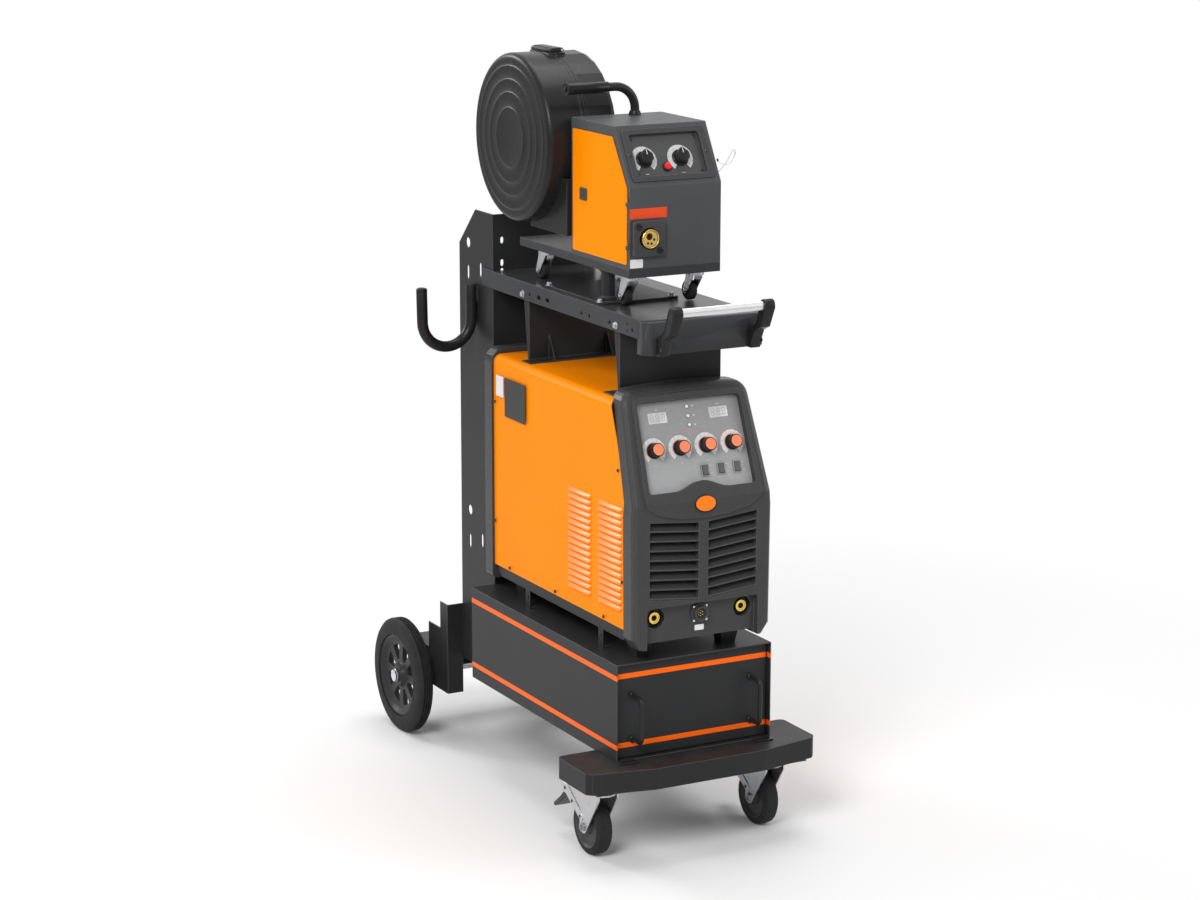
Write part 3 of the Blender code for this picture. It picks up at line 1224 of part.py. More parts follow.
def feeder_pan():
    """Inverted tray under the feeder, with cross channels for the casters and the post's bush."""
    back = PAN_FRONT_Y + PAN_LENGTH
    pan = block(-CASE_X, CASE_X, PAN_FRONT_Y, back, PAN_BOTTOM, PAN_TOP)
    cut(pan, block(-CASE_X + SHEET, CASE_X - SHEET, PAN_FRONT_Y + SHEET, back - SHEET,
                   PAN_BOTTOM - WELD, PAN_TOP - SHEET))
    end = CASE_X - 0.008
    for y in (FEEDER_CASTER_FRONT_Y, FEEDER_CASTER_BACK_Y):
        channel = block(-end, end, y - 0.022, y + 0.022, PAN_BOTTOM, PAN_TOP - WELD)
        cut(channel, block(-CASE_X, CASE_X, y - 0.022 + SHEET, y + 0.022 - SHEET,
                           PAN_BOTTOM + SHEET, PAN_TOP))
        join(pan, channel)
    radius = bore(PIVOT_PIN_RADIUS, 16)
    join(pan, ring("Z", (POST_X, POST_Y, 0), PAN_BOTTOM, PAN_TOP - WELD, radius, radius + 0.004, 16))
    return part(pan, "feeder_pan", "black_powder", (POST_X, POST_Y, PAN_BOTTOM))


def feeder_fork(index):
    """Small caster fork with its top plate's race, cheeks and axle."""
    x, y = caster_places()[index]
    top = PAN_BOTTOM - GAP
    axle_z = SHELF_TOP + GAP + FEEDER_WHEEL_DIAMETER / 2
    inner = FEEDER_WHEEL_WIDTH / 2 + 0.0012
    sheet = 0.0018
    fork = revolve([(top, 0.0), (top, 0.017), (top - 0.006, 0.019), (top - 0.010, 0.019), (top - 0.010, 0.0)],
                   "Z", (x, y, 0), 12)
    cheeks_top = top - 0.009
    outline = [(y - 0.013, cheeks_top), (y - 0.012, cheeks_top - 0.008)]
    outline += arc((y + FEEDER_TRAIL, axle_z), 0.0075, 205, 375, 3)
    outline += [(y + 0.016, cheeks_top)]
    for hand in (-1, 1):
        low, high = sorted((x + hand * inner, x + hand * (inner + sheet)))
        join(fork, prism(outline, "X", low, high))
    ends = inner + sheet + 0.002
    join(fork, rod("X", (0, y + FEEDER_TRAIL, axle_z), x - ends, x + ends, 0.003, 6))
    return part(fork, f"feeder_fork_{index + 1}", "zinc", (x, y, top))


def feeder_wheel(index):
    x, y = caster_places()[index]
    centre = (x, y + FEEDER_TRAIL, SHELF_TOP + GAP + FEEDER_WHEEL_DIAMETER / 2)
    radius = FEEDER_WHEEL_DIAMETER / 2
    half = FEEDER_WHEEL_WIDTH / 2
    outside = [(half + 0.0008, bore(0.003, 12)), (half + 0.0008, 0.006), (half - 0.001, radius - 0.005),
               (half - 0.004, radius)]
    profile = [(-along, r) for along, r in outside] + outside[::-1]
    return part(revolve(profile, "X", centre, 12), f"feeder_wheel_{index + 1}", "black_rubber", centre)


# ---------------------------------------------------------------- wire feeder: case
def case_outline():
    low, high = CASE_BOTTOM, CASE_TOP
    return [(PAN_FRONT_Y, low), (CASE_BACK_Y, low), (CASE_BACK_Y, high),
            (CASE_BACK_Y - CASE_TOP_DEPTH, high), (PAN_FRONT_Y, low + CASE_NOSE_HEIGHT)]


def door_outline(margin):
    """Door's outline: the case's side view, set in from its edges."""
    outline = inset(case_outline(), DOOR_MARGIN + margin)
    top = CASE_TOP - 0.022 - margin
    return [(y, min(z, top)) for y, z in outline]


def feeder_tray(wall):
    """Outline of the control tray on the sloping face, with or without its wall."""
    inside = rectangle(-FEEDER_TRAY_X, FEEDER_TRAY_X, FEEDER_TRAY_LOW, FEEDER_TRAY_HIGH)
    return inset(inside, -wall)


def feeder_case():
    """Folded case with a sloping face, open on its door side, with the door's hinge pins."""
    case = prism(case_outline(), "X", -CASE_X, CASE_X)
    inside = CASE_X - HOUSING_SHEET
    cut(case, prism(inset(case_outline(), HOUSING_SHEET), "X", -inside, inside))
    cut(case, prism(door_outline(0.010), "X", -CASE_X - WELD, -CASE_X + HOUSING_SHEET + WELD))
    tray = rounded(feeder_tray(FEEDER_TRAY_WALL), 0.008, 2)
    cut(case, moved(prism(inset(tray, -SLIDING), "Z", -0.010, 0.010), FEEDER_FACE))
    cut(case, rod("Y", (EURO_X, 0, CASE_BOTTOM + 0.064), PAN_FRONT_Y - WELD, PAN_FRONT_Y + 0.010, 0.0225, 14))
    x, y = door_hinge()
    for z in DOOR_KNUCKLES:
        low = CASE_BOTTOM + z
        leaf = block(-CASE_X - 0.0036, -CASE_X + WELD, y - 0.006, y - 0.0018, low - 0.008, low)
        join(case, leaf, ring("Z", (x, y, 0), low - 0.008, low, 0.0006, 0.0025, 8))
        join(case, rod("Z", (x, y, 0), low - WELD, low + 0.007, 0.0012, 6))
    return part(case, "feeder_case", "black_powder")


def door_hinge():
    """Door hinge axis, in X and Y."""
    front = min(y for y, _ in door_outline(0.0))
    return -CASE_X - GAP - DOOR_SHEET - 0.0015, front - 0.0027


def feeder_door():
    """Flat door over the opening, with knuckles on its front edge."""
    outer = -CASE_X - GAP
    door = prism(rounded(door_outline(0.0), 0.003, 1), "X", outer - DOOR_SHEET, outer)
    x, y = door_hinge()
    for z in DOOR_KNUCKLES:
        low = CASE_BOTTOM + z + GAP
        knuckle = ring("Z", (x, y, 0), low, low + 0.008, bore(0.0012, 6, 0.0001), 0.0025, 8)
        leaf = block(outer - DOOR_SHEET, outer - 0.0004, y + 0.0017, y + 0.006, low, low + 0.008)
        join(door, join(knuckle, leaf))
    return part(door, "feeder_door", "orange_paint", (x, y, CASE_BOTTOM + CASE_NOSE_HEIGHT / 2))


def feeder_door_latch():
    """Slide latch near the door's back edge."""
    outer = -CASE_X - GAP - DOOR_SHEET - GAP
    y = CASE_BACK_Y - 0.060
    z = CASE_BOTTOM + 0.134
    frame = rectangle(y - 0.014, y + 0.014, z - 0.013, z + 0.013)
    latch = prism(rounded(frame, 0.002, 2), "X", outer - 0.003, outer)
    cut(latch, block(outer - 0.004, outer - 0.0015, y - 0.006, y + 0.006, z - 0.009, z + 0.009))
    return part(latch, "feeder_door_latch", "black_plastic", (outer, y, z))


def feeder_control_panel():
    """Moulded frame and tray on the sloping face."""
    outline = rectangle(-FEEDER_FRAME_X, FEEDER_FRAME_X, FEEDER_FRAME_LOW, FEEDER_FRAME_HIGH)
    panel = prism(rounded(outline, 0.008, 3), "Z", GAP, 0.0035)
    outside = rounded(feeder_tray(FEEDER_TRAY_WALL), 0.008, 2)
    join(panel, prism(outside, "Z", -FEEDER_TRAY_DEPTH - 0.0022, 0.001))
    cut(panel, prism(rounded(feeder_tray(0), 0.006, 2), "Z", -FEEDER_TRAY_DEPTH, 0.010))
    x, up = FEEDER_BUTTON_PLACE
    cut(panel, rod("Z", (x, up, 0), -FEEDER_TRAY_DEPTH - 0.004, 0.0, bore(0.0055, 10), 10))
    return part(moved(panel, FEEDER_FACE), "feeder_control_panel", "black_plastic")


def feeder_knob(index):
    """Pointer knob: faceted skirt with a bar across its face."""
    x, up = FEEDER_KNOB_PLACES[index]
    floor = -FEEDER_TRAY_DEPTH + GAP
    knob = revolve([(floor, 0.0), (floor, 0.0155), (floor + 0.003, 0.0155), (floor + 0.004, 0.0135),
                    (floor + 0.017, 0.0118), (floor + 0.018, 0.0105), (floor + 0.018, 0.0)],
                   "Z", (x, up, 0), 12)
    join(knob, block(x - 0.0022, x + 0.0022, up - 0.010, up + 0.0115, floor + 0.016, floor + 0.020))
    moved(knob, FEEDER_FACE)
    return part(knob, f"feeder_knob_{index + 1}", "black_plastic", FEEDER_FACE @ Vector((x, up, floor)))


def feeder_button():
    """Push button that travels into the tray."""
    x, up = FEEDER_BUTTON_PLACE
    floor = -FEEDER_TRAY_DEPTH
    cap = [(floor - 0.006, 0.0), (floor - 0.006, 0.0055), (floor + 0.004, 0.0055), (floor + 0.006, 0.0035),
           (floor + 0.0065, 0.0)]
    button = moved(revolve(cap, "Z", (x, up, 0), 10), FEEDER_FACE)
    return part(button, "feeder_button", "red_plastic", FEEDER_FACE @ Vector((x, up, floor)))


def euro_socket():
    """Torch socket: square flange and brass barrel with its gas bore."""
    z = CASE_BOTTOM + 0.064
    face = PAN_FRONT_Y - GAP
    flange = prism(rounded(rectangle(EURO_X - 0.037, EURO_X + 0.037, z - 0.037, z + 0.037), 0.006, 3), "Y",
                   face - 0.010, face)
    cut(flange, rod("Y", (EURO_X, 0, z), face - 0.012, face - 0.003, 0.0235, 16))
    barrel = revolve([(face + 0.030, 0.0), (face + 0.030, 0.0195), (face - 0.016, 0.0195),
                      (face - 0.016, 0.017), (face - 0.012, 0.017), (face - 0.012, 0.0)],
                     "Y", (EURO_X, 0, z), 16)
    join(flange, barrel)
    cut(flange, rod("Y", (EURO_X, 0, z + 0.004), face - 0.020, face - 0.004, 0.007, 10))
    return part(flange, "euro_socket", "black_plastic")


def feeder_handle():
    """Bent carrying tube on the case's top, with a rubber grip and a hexagonal end cap."""
    y = CASE_BACK_Y - 0.026
    z = CASE_TOP + GRIP_RISE
    bend = 0.048
    foot_x = 0.030
    low = CASE_TOP + GAP
    start = foot_x - bend - GRIP_REACH
    path = [(start, y, z), (foot_x - bend, y, z)]
    path += [(a, y, b) for a, b in arc((foot_x - bend, z - bend), bend, 72, 0, 4)]
    path += [(foot_x, y, low + 0.001)]
    handle = tube(path, HANDLE_TUBE / 2, 12)
    grip = rod("X", (0, y, z), start - 0.001, start + 0.098, GRIP_DIAMETER / 2, 14)
    join(handle, grip, rod("X", (0, y, z), start - 0.006, start + 0.002, GRIP_DIAMETER / 2 + 0.001, 6))
    join(handle, rod("Z", (foot_x, y, 0), low, low + 0.010, HANDLE_TUBE / 2 + 0.004, 12))
    return part(handle, "feeder_handle", "black_rubber")


def wire_drive():
    """Drive plate with its motor, the pairs of feed rolls and the pressure arm, behind the door."""
    z = CASE_BOTTOM + 0.064
    back = CASE_BACK_Y - 0.070
    front = PAN_FRONT_Y + 0.034
    middle = (front + back) / 2
    floor = CASE_BOTTOM + HOUSING_SHEET + GAP
    plate = EURO_X + 0.020
    foot = plate + 0.045
    wall = plate + 0.006
    side = [(plate, floor), (foot, floor), (foot, floor + 0.004), (wall, floor + 0.004),
            (wall, z + 0.060), (plate, z + 0.060)]
    drive = prism(side, "Y", front, back)
    join(drive, rod("X", (0, middle, z), plate + 0.004, plate + 0.090, 0.028, 16))
    for y in (middle - 0.026, middle + 0.026):
        for up in (-0.0162, 0.0162):
            join(drive, rod("X", (0, y, z + up), plate - 0.026, plate + 0.002, 0.0155, 12))
    join(drive, block(plate - 0.024, plate + 0.001, middle - 0.040, middle + 0.040, z + 0.036, z + 0.046))
    join(drive, rod("Z", (plate - 0.012, middle, 0), z + 0.044, z + 0.085, 0.010, 10))
    return part(drive, "wire_drive", "zinc")


# ---------------------------------------------------------------- wire feeder: spool and its cover
def drum_shell(low, high, steps, closed_high):
    """Turned half of the cover with a rounded rim, its open side on the seam."""
    radius = DRUM_RADIUS
    closed, seam = (high, low) if closed_high else (low, high)
    out = 1 if closed_high else -1
    outer = [(closed + out * DRUM_STEP * len(steps), 0.0)]
    for index, edge in enumerate(steps):
        height = DRUM_STEP * (len(steps) - index)
        outer += [(closed + out * height, edge), (closed + out * (height - DRUM_STEP), edge + DRUM_STEP)]
    outer += [(closed, radius - 0.012), (closed - out * 0.0035, radius - 0.0035),
              (closed - out * 0.012, radius)]
    inner = [(closed - out * 0.013, radius - DRUM_WALL), (closed - out * DRUM_WALL, radius - 0.013),
             (closed - out * DRUM_WALL, 0.0)]
    profile = outer + [(seam, radius), (seam, radius - DRUM_WALL)] + inner
    return revolve(profile, "X", (0, DRUM_Y, DRUM_Z), DRUM_SIDES)


def neck(clearance, x_low, x_high):
    """Moulded block between the case's back and the cover, hollowed to the cover's round."""
    low = DRUM_Z - DRUM_RADIUS - 0.010
    high = DRUM_Z - 0.072
    start = 180 + math.degrees(math.asin(0.072 / DRUM_RADIUS))
    radius = (DRUM_RADIUS + clearance) / math.cos(math.radians((265 - start) / 12))
    outline = [(CASE_BACK_Y + GAP, low), (DRUM_Y - 0.020, low)]
    outline += arc((DRUM_Y, DRUM_Z), radius, 265, start, 6)
    outline += [(CASE_BACK_Y + GAP, high)]
    return prism(outline, "X", x_low, x_high)


def spool_cover_base():
    """Right half of the cover, fixed to the case by its neck, with the spool's spindle."""
    base = drum_shell(DRUM_SEAM_X + GAP, DRUM_RIGHT_X, (), True)
    join(base, neck(-WELD, DRUM_SEAM_X + GAP, DRUM_RIGHT_X - 0.012))
    join(base, neck(GAP, DRUM_LEFT_X + 0.038, DRUM_SEAM_X + 0.004))
    tip = spool_x() - SPOOL_WIDTH / 2 - 0.008
    wall = DRUM_RIGHT_X - DRUM_WALL - WELD + 0.002
    shoulder = spool_x() + SPOOL_WIDTH / 2 + 0.002
    spindle = revolve([(wall, 0.0), (tip, 0.0), (tip, SPINDLE_RADIUS - 0.002), (tip + 0.002, SPINDLE_RADIUS),
                       (shoulder, SPINDLE_RADIUS), (shoulder, 0.045), (wall, 0.045)],
                      "X", (0, DRUM_Y, DRUM_Z), 20)
    join(base, spindle, latch_pad(DRUM_SEAM_X + 2 * GAP, DRUM_SEAM_X + 0.016))
    x, y = lid_hinge()
    shell = DRUM_Y + DRUM_RADIUS - 0.002
    half = HINGE_KNUCKLE / 2
    knuckle = ring("Z", (x, y, 0), DRUM_Z - half, DRUM_Z + half, bore(HINGE_PIN, 6), 0.004, 6)
    join(base, knuckle, block(x + 0.0022, x + 0.010, shell, y + 0.003, DRUM_Z - half, DRUM_Z + half))
    return part(base, "spool_cover_base", "black_plastic", (DRUM_SEAM_X, DRUM_Y, DRUM_Z))


def latch_pad(x_low, x_high):
    """Flat seat for the latch on top of a half of the cover."""
    top = DRUM_Z + DRUM_RADIUS
    return block(x_low, x_high, DRUM_Y - LATCH_HALF, DRUM_Y + LATCH_HALF, top - 0.008, top + 0.0003)


def lid_hinge():
    """Hinge axis behind the cover, in X and Y."""
    return DRUM_SEAM_X, DRUM_Y + DRUM_RADIUS + 0.0045


def spool_cover_lid():
    """Left half of the cover with stepped rings on its face."""
    lid = drum_shell(DRUM_LEFT_X, DRUM_SEAM_X - GAP, DRUM_RINGS, False)
    join(lid, latch_pad(DRUM_SEAM_X - 0.024, DRUM_SEAM_X - 2 * GAP))
    x, y = lid_hinge()
    shell = DRUM_Y + DRUM_RADIUS - 0.002
    near = HINGE_KNUCKLE / 2 + GAP
    join(lid, rod("Z", (x, y, 0), DRUM_Z - near - 0.002, DRUM_Z + near + 0.002, HINGE_PIN, 6))
    for low in (DRUM_Z - near - HINGE_KNUCKLE, DRUM_Z + near):
        high = low + HINGE_KNUCKLE
        lug = rod("Z", (x, y, 0), low, high, 0.004, 6)
        join(lug, block(x - 0.010, x - 0.0015, shell, y + 0.003, low, high))
        join(lid, lug)
    return part(lid, "spool_cover_lid", "black_plastic", (*lid_hinge(), DRUM_Z))


def spool_x():
    """Middle of the spool along its axis."""
    return (DRUM_LEFT_X + DRUM_RIGHT_X) / 2 - 0.003


def wire_spool():
    """Reel of wire: two flanges and the wound wire between them."""
    middle = spool_x()
    half = SPOOL_WIDTH / 2
    radius = SPOOL_DIAMETER / 2
    hole = bore(SPINDLE_RADIUS, 20, 0.0004)
    profile = [(middle - half, hole), (middle - half, radius), (middle - half + 0.006, radius),
               (middle - half + 0.006, radius - 0.018), (middle + half - 0.006, radius - 0.018),
               (middle + half - 0.006, radius), (middle + half, radius), (middle + half, hole)]
    spool = revolve(profile, "X", (0, DRUM_Y, DRUM_Z), 20)
    return part(spool, "wire_spool", "copper_wire", (middle, DRUM_Y, DRUM_Z))


def latch_pivot():
    """Latch hinge axis, in X and Z, along Y above the seam."""
    return DRUM_SEAM_X + 0.009, DRUM_Z + DRUM_RADIUS + 2 * GAP + LATCH_THICKNESS / 2


def spool_cover_latch():
    """Ribbed latch across the seam on top of the cover."""
    x, z = latch_pivot()
    radius = LATCH_THICKNESS / 2
    tip = x - LATCH_REACH
    outline = arc((x, z), radius, -90, 90, 5)
    outline += [(tip + 0.008, z + radius), (tip, z + 0.001), (tip, z - radius)]
    latch = prism(outline, "Y", DRUM_Y - LATCH_HALF, DRUM_Y + LATCH_HALF)
    return part(latch, "spool_cover_latch", "black_plastic", (x, DRUM_Y, z))


# ---------------------------------------------------------------- the whole machine
def build():
    global ROOT
    for item in list(bpy.data.objects):
        bpy.data.objects.remove(item)
    ROOT = bpy.data.objects.new("machine", None)
    bpy.context.collection.objects.link(ROOT)
    ROOT.location = (0.0, CENTRE_Y, 0.0)
    front_platform()
    for side, hand in ((-1, "left"), (1, "right")):
        caster_fork(side, f"caster_fork_{hand}")
        caster_wheel(side, f"caster_wheel_{hand}")
        brake_pedal(side, f"brake_pedal_{hand}")
        rear_rim(side, f"rear_rim_{hand}")
        rear_tyre(side, f"rear_tyre_{hand}")
        source_socket(side, f"source_socket_{hand}")
    cabinet_shell()
    drawer()
    column()
    axle_carrier()
    rear_axle()
    hose_hook()
    shelf()
    shelf_support(SUPPORT_FRONT_Y, "shelf_support_front", False)
    shelf_support(SUPPORT_REAR_Y, "shelf_support_rear", True)
    push_handle()
    pivot_post()
    source_base()
    source_cover()
    source_rear_bezel()
    source_front_bezel()
    source_control_panel()
    for index in range(4):
        source_knob(index)
    for index in range(len(SWITCH_X)):
        source_switch(index)
    remote_connector()
    feeder_pan()
    for index in range(4):
        feeder_fork(index)
        feeder_wheel(index)
    feeder_case()
    feeder_door()
    feeder_door_latch()
    feeder_control_panel()
    for index in range(len(FEEDER_KNOB_PLACES)):
        feeder_knob(index)
    feeder_button()
    euro_socket()
    feeder_handle()
    wire_drive()
    spool_cover_base()
    spool_cover_lid()
    spool_cover_latch()
    wire_spool()
    bpy.context.view_layer.update()


build()
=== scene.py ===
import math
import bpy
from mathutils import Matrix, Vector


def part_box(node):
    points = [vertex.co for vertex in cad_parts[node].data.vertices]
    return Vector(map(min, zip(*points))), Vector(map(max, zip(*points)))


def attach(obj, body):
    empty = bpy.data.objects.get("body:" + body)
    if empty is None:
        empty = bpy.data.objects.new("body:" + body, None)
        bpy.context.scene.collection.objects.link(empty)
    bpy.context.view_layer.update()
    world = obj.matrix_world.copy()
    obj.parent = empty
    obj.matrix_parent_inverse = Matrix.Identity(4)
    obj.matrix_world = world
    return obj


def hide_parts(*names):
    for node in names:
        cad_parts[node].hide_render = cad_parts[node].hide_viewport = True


bl_info = {
    "name": "Welder cart finish",
    "version": (1, 0, 0),
    "blender": (4, 5, 0),
    "location": "View3D > Sidebar > Welder",
    "description": "Finished pieces and surfaces of a welding machine on its cart",
    "category": "Object",
}

import bpy
from bpy.props import FloatProperty, FloatVectorProperty, IntProperty, PointerProperty
from mathutils import Matrix, Vector

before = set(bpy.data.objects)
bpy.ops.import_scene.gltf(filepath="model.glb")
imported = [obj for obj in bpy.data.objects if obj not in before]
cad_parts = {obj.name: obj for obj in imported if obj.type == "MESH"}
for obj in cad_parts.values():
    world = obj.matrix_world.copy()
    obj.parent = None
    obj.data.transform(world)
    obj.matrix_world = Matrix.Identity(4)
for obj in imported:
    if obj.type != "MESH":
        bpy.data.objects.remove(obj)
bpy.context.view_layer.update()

# Pieces are drawn about the machine's middle plane, with Y from the feeder's side of the
# cabinet; SHIFT then brings them into the frame.
SHIFT = Vector((0.0, (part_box("rear_axle")[0][1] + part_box("rear_axle")[1][1]) / 2 - 0.662, 0.0))
GAP = 0.0003                    # between pieces that rest on each other
SMOOTH_ANGLE = 32.0             # edges that turn by less are shaded smooth
REAR_AXLE = (0.662, 0.1375)     # Y, Z
CASTER_AXLE = (-0.302, 0.0625)  # Y, Z of the front casters' bolts
CASTER_X = 0.2055
COVER_LOW = 0.5004              # the power source's cover
COVER_X = 0.1622
SHELF_TOP = 1.1604
SHELF_X = 0.1323                # outside of the shelf's skirts
CASE_LOW = 1.2494               # the feeder's case
CASE_TOP = 1.54
CASE_X = 0.1088
DRUM = (0.17, 1.4784)          # Y, Z of the spool's axis
BEZEL_FRONT = -0.408
CONNECTOR_Z = 0.5284            # height of the welding sockets and the connector
PANEL_FLOOR = -0.009            # control sheet below the bezel's sloping front
PANEL_LAMPS = (0.199, 0.179, 0.1595)
KNOB_X = (-0.09375, -0.03125, 0.03125, 0.09375)
KNOB_UP = 0.113
SWITCH_X = (0.018, 0.057, 0.096)
SWITCH_UP = 0.061
TRAY_FLOOR = -0.007             # control sheet below the feeder's sloping front
FEEDER_KNOBS = ((-0.0555, 0.062), (0.0302, 0.061))
FEEDER_BUTTON = (-0.0061, 0.043)
FEEDER_CASTERS = ((-0.078, -0.225), (0.078, -0.225), (-0.078, 0.155), (0.078, 0.155))
EURO = (-0.067, 1.3134)         # X, Z of the torch socket
TORCH_BORE = (-0.0027, 0.005)  # from the torch socket's middle
TORCH_PINS = ((0.0084, -0.0017), (-0.006, -0.009), (0.0024, -0.0098))
FEEDER_FACE = -0.278           # the feeder's upright front

# name, place, width and power of the studio's lamps
LAMPS = (("key", (-3.9, -3.8, 4.4), 2.6, 235.0), ("fill", (4.6, -3.4, 2.6), 3.0, 60.0),
         ("top", (0.4, 0.4, 5.2), 3.6, 110.0), ("back", (-2.6, 4.6, 3.3), 2.0, 95.0))
LAMP_TARGET_Z = 0.8
WORLD_LEVEL = 0.42              # the surroundings as light; the camera sees them white
CAMERA_PLACE = (-3.1, -5.755, 2.29)
CAMERA_TURN = (77.16, -0.09, -28.07)
CAMERA_LENS = 91.6


def face_frame(y, z, degrees):
    """Frame of a sloping front: X across, Y up the slope, Z out of it."""
    angle = math.radians(degrees)
    axes = ((1, 0, 0), (0, math.sin(angle), math.cos(angle)), (0, -math.cos(angle), math.sin(angle)))
    turned_frame = Matrix.Identity(4)
    for column, axis in enumerate(axes):
        for row in range(3):
            turned_frame[row][column] = axis[row]
    turned_frame.translation = (0.0, y, z)
    return turned_frame


CONTROLS = face_frame(BEZEL_FRONT, 0.7774, 20.5)
FEEDER_FRONT = face_frame(FEEDER_FACE, CASE_LOW + 0.1708, 29.65)


# ---------------------------------------------------------------- surfaces
class Value:
    """A node's output, with arithmetic that adds Math nodes."""

    def __init__(self, surface, socket):
        self.surface = surface
        self.socket = socket

    def maths(self, operation, *others, clamp=False):
        return self.surface.node("ShaderNodeMath", {"operation": operation, "use_clamp": clamp},
                                 [self, *others])

    def __add__(self, other):
        return self.maths("ADD", other)

    __radd__ = __add__

    def __sub__(self, other):
        return self.maths("SUBTRACT", other)

    def __rsub__(self, other):
        return (self * -1.0) + other

    def __mul__(self, other):
        return self.maths("MULTIPLY", other)

    __rmul__ = __mul__

    def __truediv__(self, other):
        return self.maths("DIVIDE", other)

    def wave(self):
        return self.maths("SINE")

    def past(self, edge, width):
        """0 before an edge and 1 after it, with a soft step of a width."""
        return ((self - edge) / width + 0.5).maths("ADD", 0.0, clamp=True)


class Surface:
    """A node material in the making."""

    def __init__(self, name):
        self.material = bpy.data.materials.new(name)
        self.material.use_nodes = True
        self.tree = self.material.node_tree
        self.shader = self.tree.nodes["Principled BSDF"]
        self.place = self.node("ShaderNodeTexCoord", output="Object")

    def node(self, kind, settings=None, inputs=None, output=0):
        made = self.tree.nodes.new(kind)
        for key, setting in (settings or {}).items():
            setattr(made, key, setting)
        given = inputs.items() if isinstance(inputs, dict) else enumerate(inputs or ())
        for key, value in given:
            if isinstance(value, Value):
                self.tree.links.new(value.socket, made.inputs[key])
            else:
                made.inputs[key].default_value = value
        return Value(self, made.outputs[output])

    def along(self, axis):
        """Object coordinate along X, Y or Z."""
        return self.node("ShaderNodeSeparateXYZ", None, [self.place], output=axis)

    def stretched(self, scale):
        return self.node("ShaderNodeMapping", None, {"Vector": self.place, "Scale": scale})

    def noise(self, scale, detail=3.0, place=None):
        inputs = {"Vector": place or self.place, "Scale": scale, "Detail": detail}
        return self.node("ShaderNodeTexNoise", None, inputs)

    def cells(self, scale):
        return self.node("ShaderNodeTexVoronoi", None, {"Vector": self.place, "Scale": scale})

    def mix(self, first, second, factor):
        """Colour between two, by a factor."""
        ends = {0: factor}
        for index, colour in ((6, first), (7, second)):
            ends[index] = colour if isinstance(colour, Value) else (*colour, 1.0)
        return self.node("ShaderNodeMix", {"data_type": "RGBA"}, ends, output=2)

    def set(self, **inputs):
        """Fill the shader's inputs and give the material."""
        names = {"colour": "Base Color", "roughness": "Roughness", "metallic": "Metallic",
                 "normal": "Normal", "coat": "Coat Weight", "coat_roughness": "Coat Roughness",
                 "specular": "Specular IOR Level", "ior": "IOR"}
        for key, value in inputs.items():
            socket = self.shader.inputs[names[key]]
            if isinstance(value, Value):
                self.tree.links.new(value.socket, socket)
            elif socket.type == "RGBA":
                socket.default_value = (*value, 1.0)
            else:
                socket.default_value = value
        return self.material

    def rounded(self, edge):
        """Normal that turns over an edge within a radius."""
        return self.node("ShaderNodeBevel", {"samples": 4}, {"Radius": edge})

    def worn(self, edge):
        """1 on sharp edges, where a lighter colour is painted as a highlight, and 0 on flats."""
        flat = self.node("ShaderNodeNewGeometry", output="True Normal")
        turn = self.node("ShaderNodeVectorMath", {"operation": "DOT_PRODUCT"},
                         [self.rounded(edge), flat], output="Value")
        return (1.0 - turn).past(HIGHLIGHT_START, HIGHLIGHT_SOFTNESS)

    def bump(self, height, distance, strength=1.0, edge=0.0):
        """Relief, on edges that look rounded by a radius."""
        inputs = {"Height": height, "Distance": distance, "Strength": strength}
        if edge:
            inputs["Normal"] = self.rounded(edge)
        return self.node("ShaderNodeBump", None, inputs)


def shade(colour, factor):
    """Colour made darker or lighter by a factor."""
    return tuple(min(channel * factor, 1.0) for channel in colour)


def speckle(surface, colour):
    """Clouded colour with fine pale specks, and the grain that makes them."""
    grain = surface.noise(1500.0, 2.0)
    base = surface.mix(shade(colour, 0.86), shade(colour, 1.14), surface.noise(9.0, 4.0))
    return surface.mix(base, shade(colour, 1.9), grain.past(0.66, 0.08) * 0.35), grain


def powder_coat(name, colour, roughness=0.38, edge_highlight=0.6):
    """Fine-textured powder coat, with dust on what faces up and a painted highlight on its sharp edges."""
    surface = Surface(name)
    coat, grain = speckle(surface, colour)
    normal = surface.node("ShaderNodeNewGeometry", output="Normal")
    facing_up = surface.node("ShaderNodeSeparateXYZ", None, [normal], output="Z").past(0.85, 0.3)
    dust = facing_up * surface.noise(23.0, 5.0).past(0.5, 0.4) * 0.15
    coat = surface.mix(coat, DUST, dust)
    if edge_highlight:
        # painted highlight: sharp edges lightened towards a pale grey
        coat = surface.mix(coat, EDGE_HIGHLIGHT, surface.worn(SHEET_EDGE) * edge_highlight)
    return surface.set(colour=coat, ior=SHEET_IOR, roughness=grain * 0.16 + (roughness - 0.08),
                       normal=surface.bump(grain, 0.0001, 0.4, SHEET_EDGE))


def moulded_plastic(name, colour, roughness=0.42, texture=900.0, edge=0.0):
    """Moulded plastic with a fine spark-eroded grain."""
    surface = Surface(name)
    cloud = surface.noise(14.0, 3.0)
    grain = surface.cells(texture)
    base = surface.mix(shade(colour, 0.9), shade(colour, 1.12), cloud)
    if edge:
        # painted highlight: sharp edges lightened towards a pale grey
        base = surface.mix(base, EDGE_HIGHLIGHT, surface.worn(edge) * 0.5)
    return surface.set(colour=base,
                       roughness=grain * 0.1 + surface.noise(60.0) * 0.06 + (roughness - 0.08),
                       normal=surface.bump(grain, 0.00008, 0.5, edge), ior=PLASTIC_IOR)


def gloss_paint(name, colour, ior=1.1):
    """Glossy stoved paint with faint orange peel under a clear coat."""
    surface = Surface(name)
    peel = surface.noise(260.0, 2.0)
    cloud = surface.noise(5.0, 3.0)
    return surface.set(colour=surface.mix(shade(colour, 0.95), shade(colour, 1.04), cloud),
                       roughness=peel * 0.05 + 0.28,
                       coat=0.04, coat_roughness=0.12, ior=ior,
                       normal=surface.bump(peel, 0.00006, 0.4, 0.001))


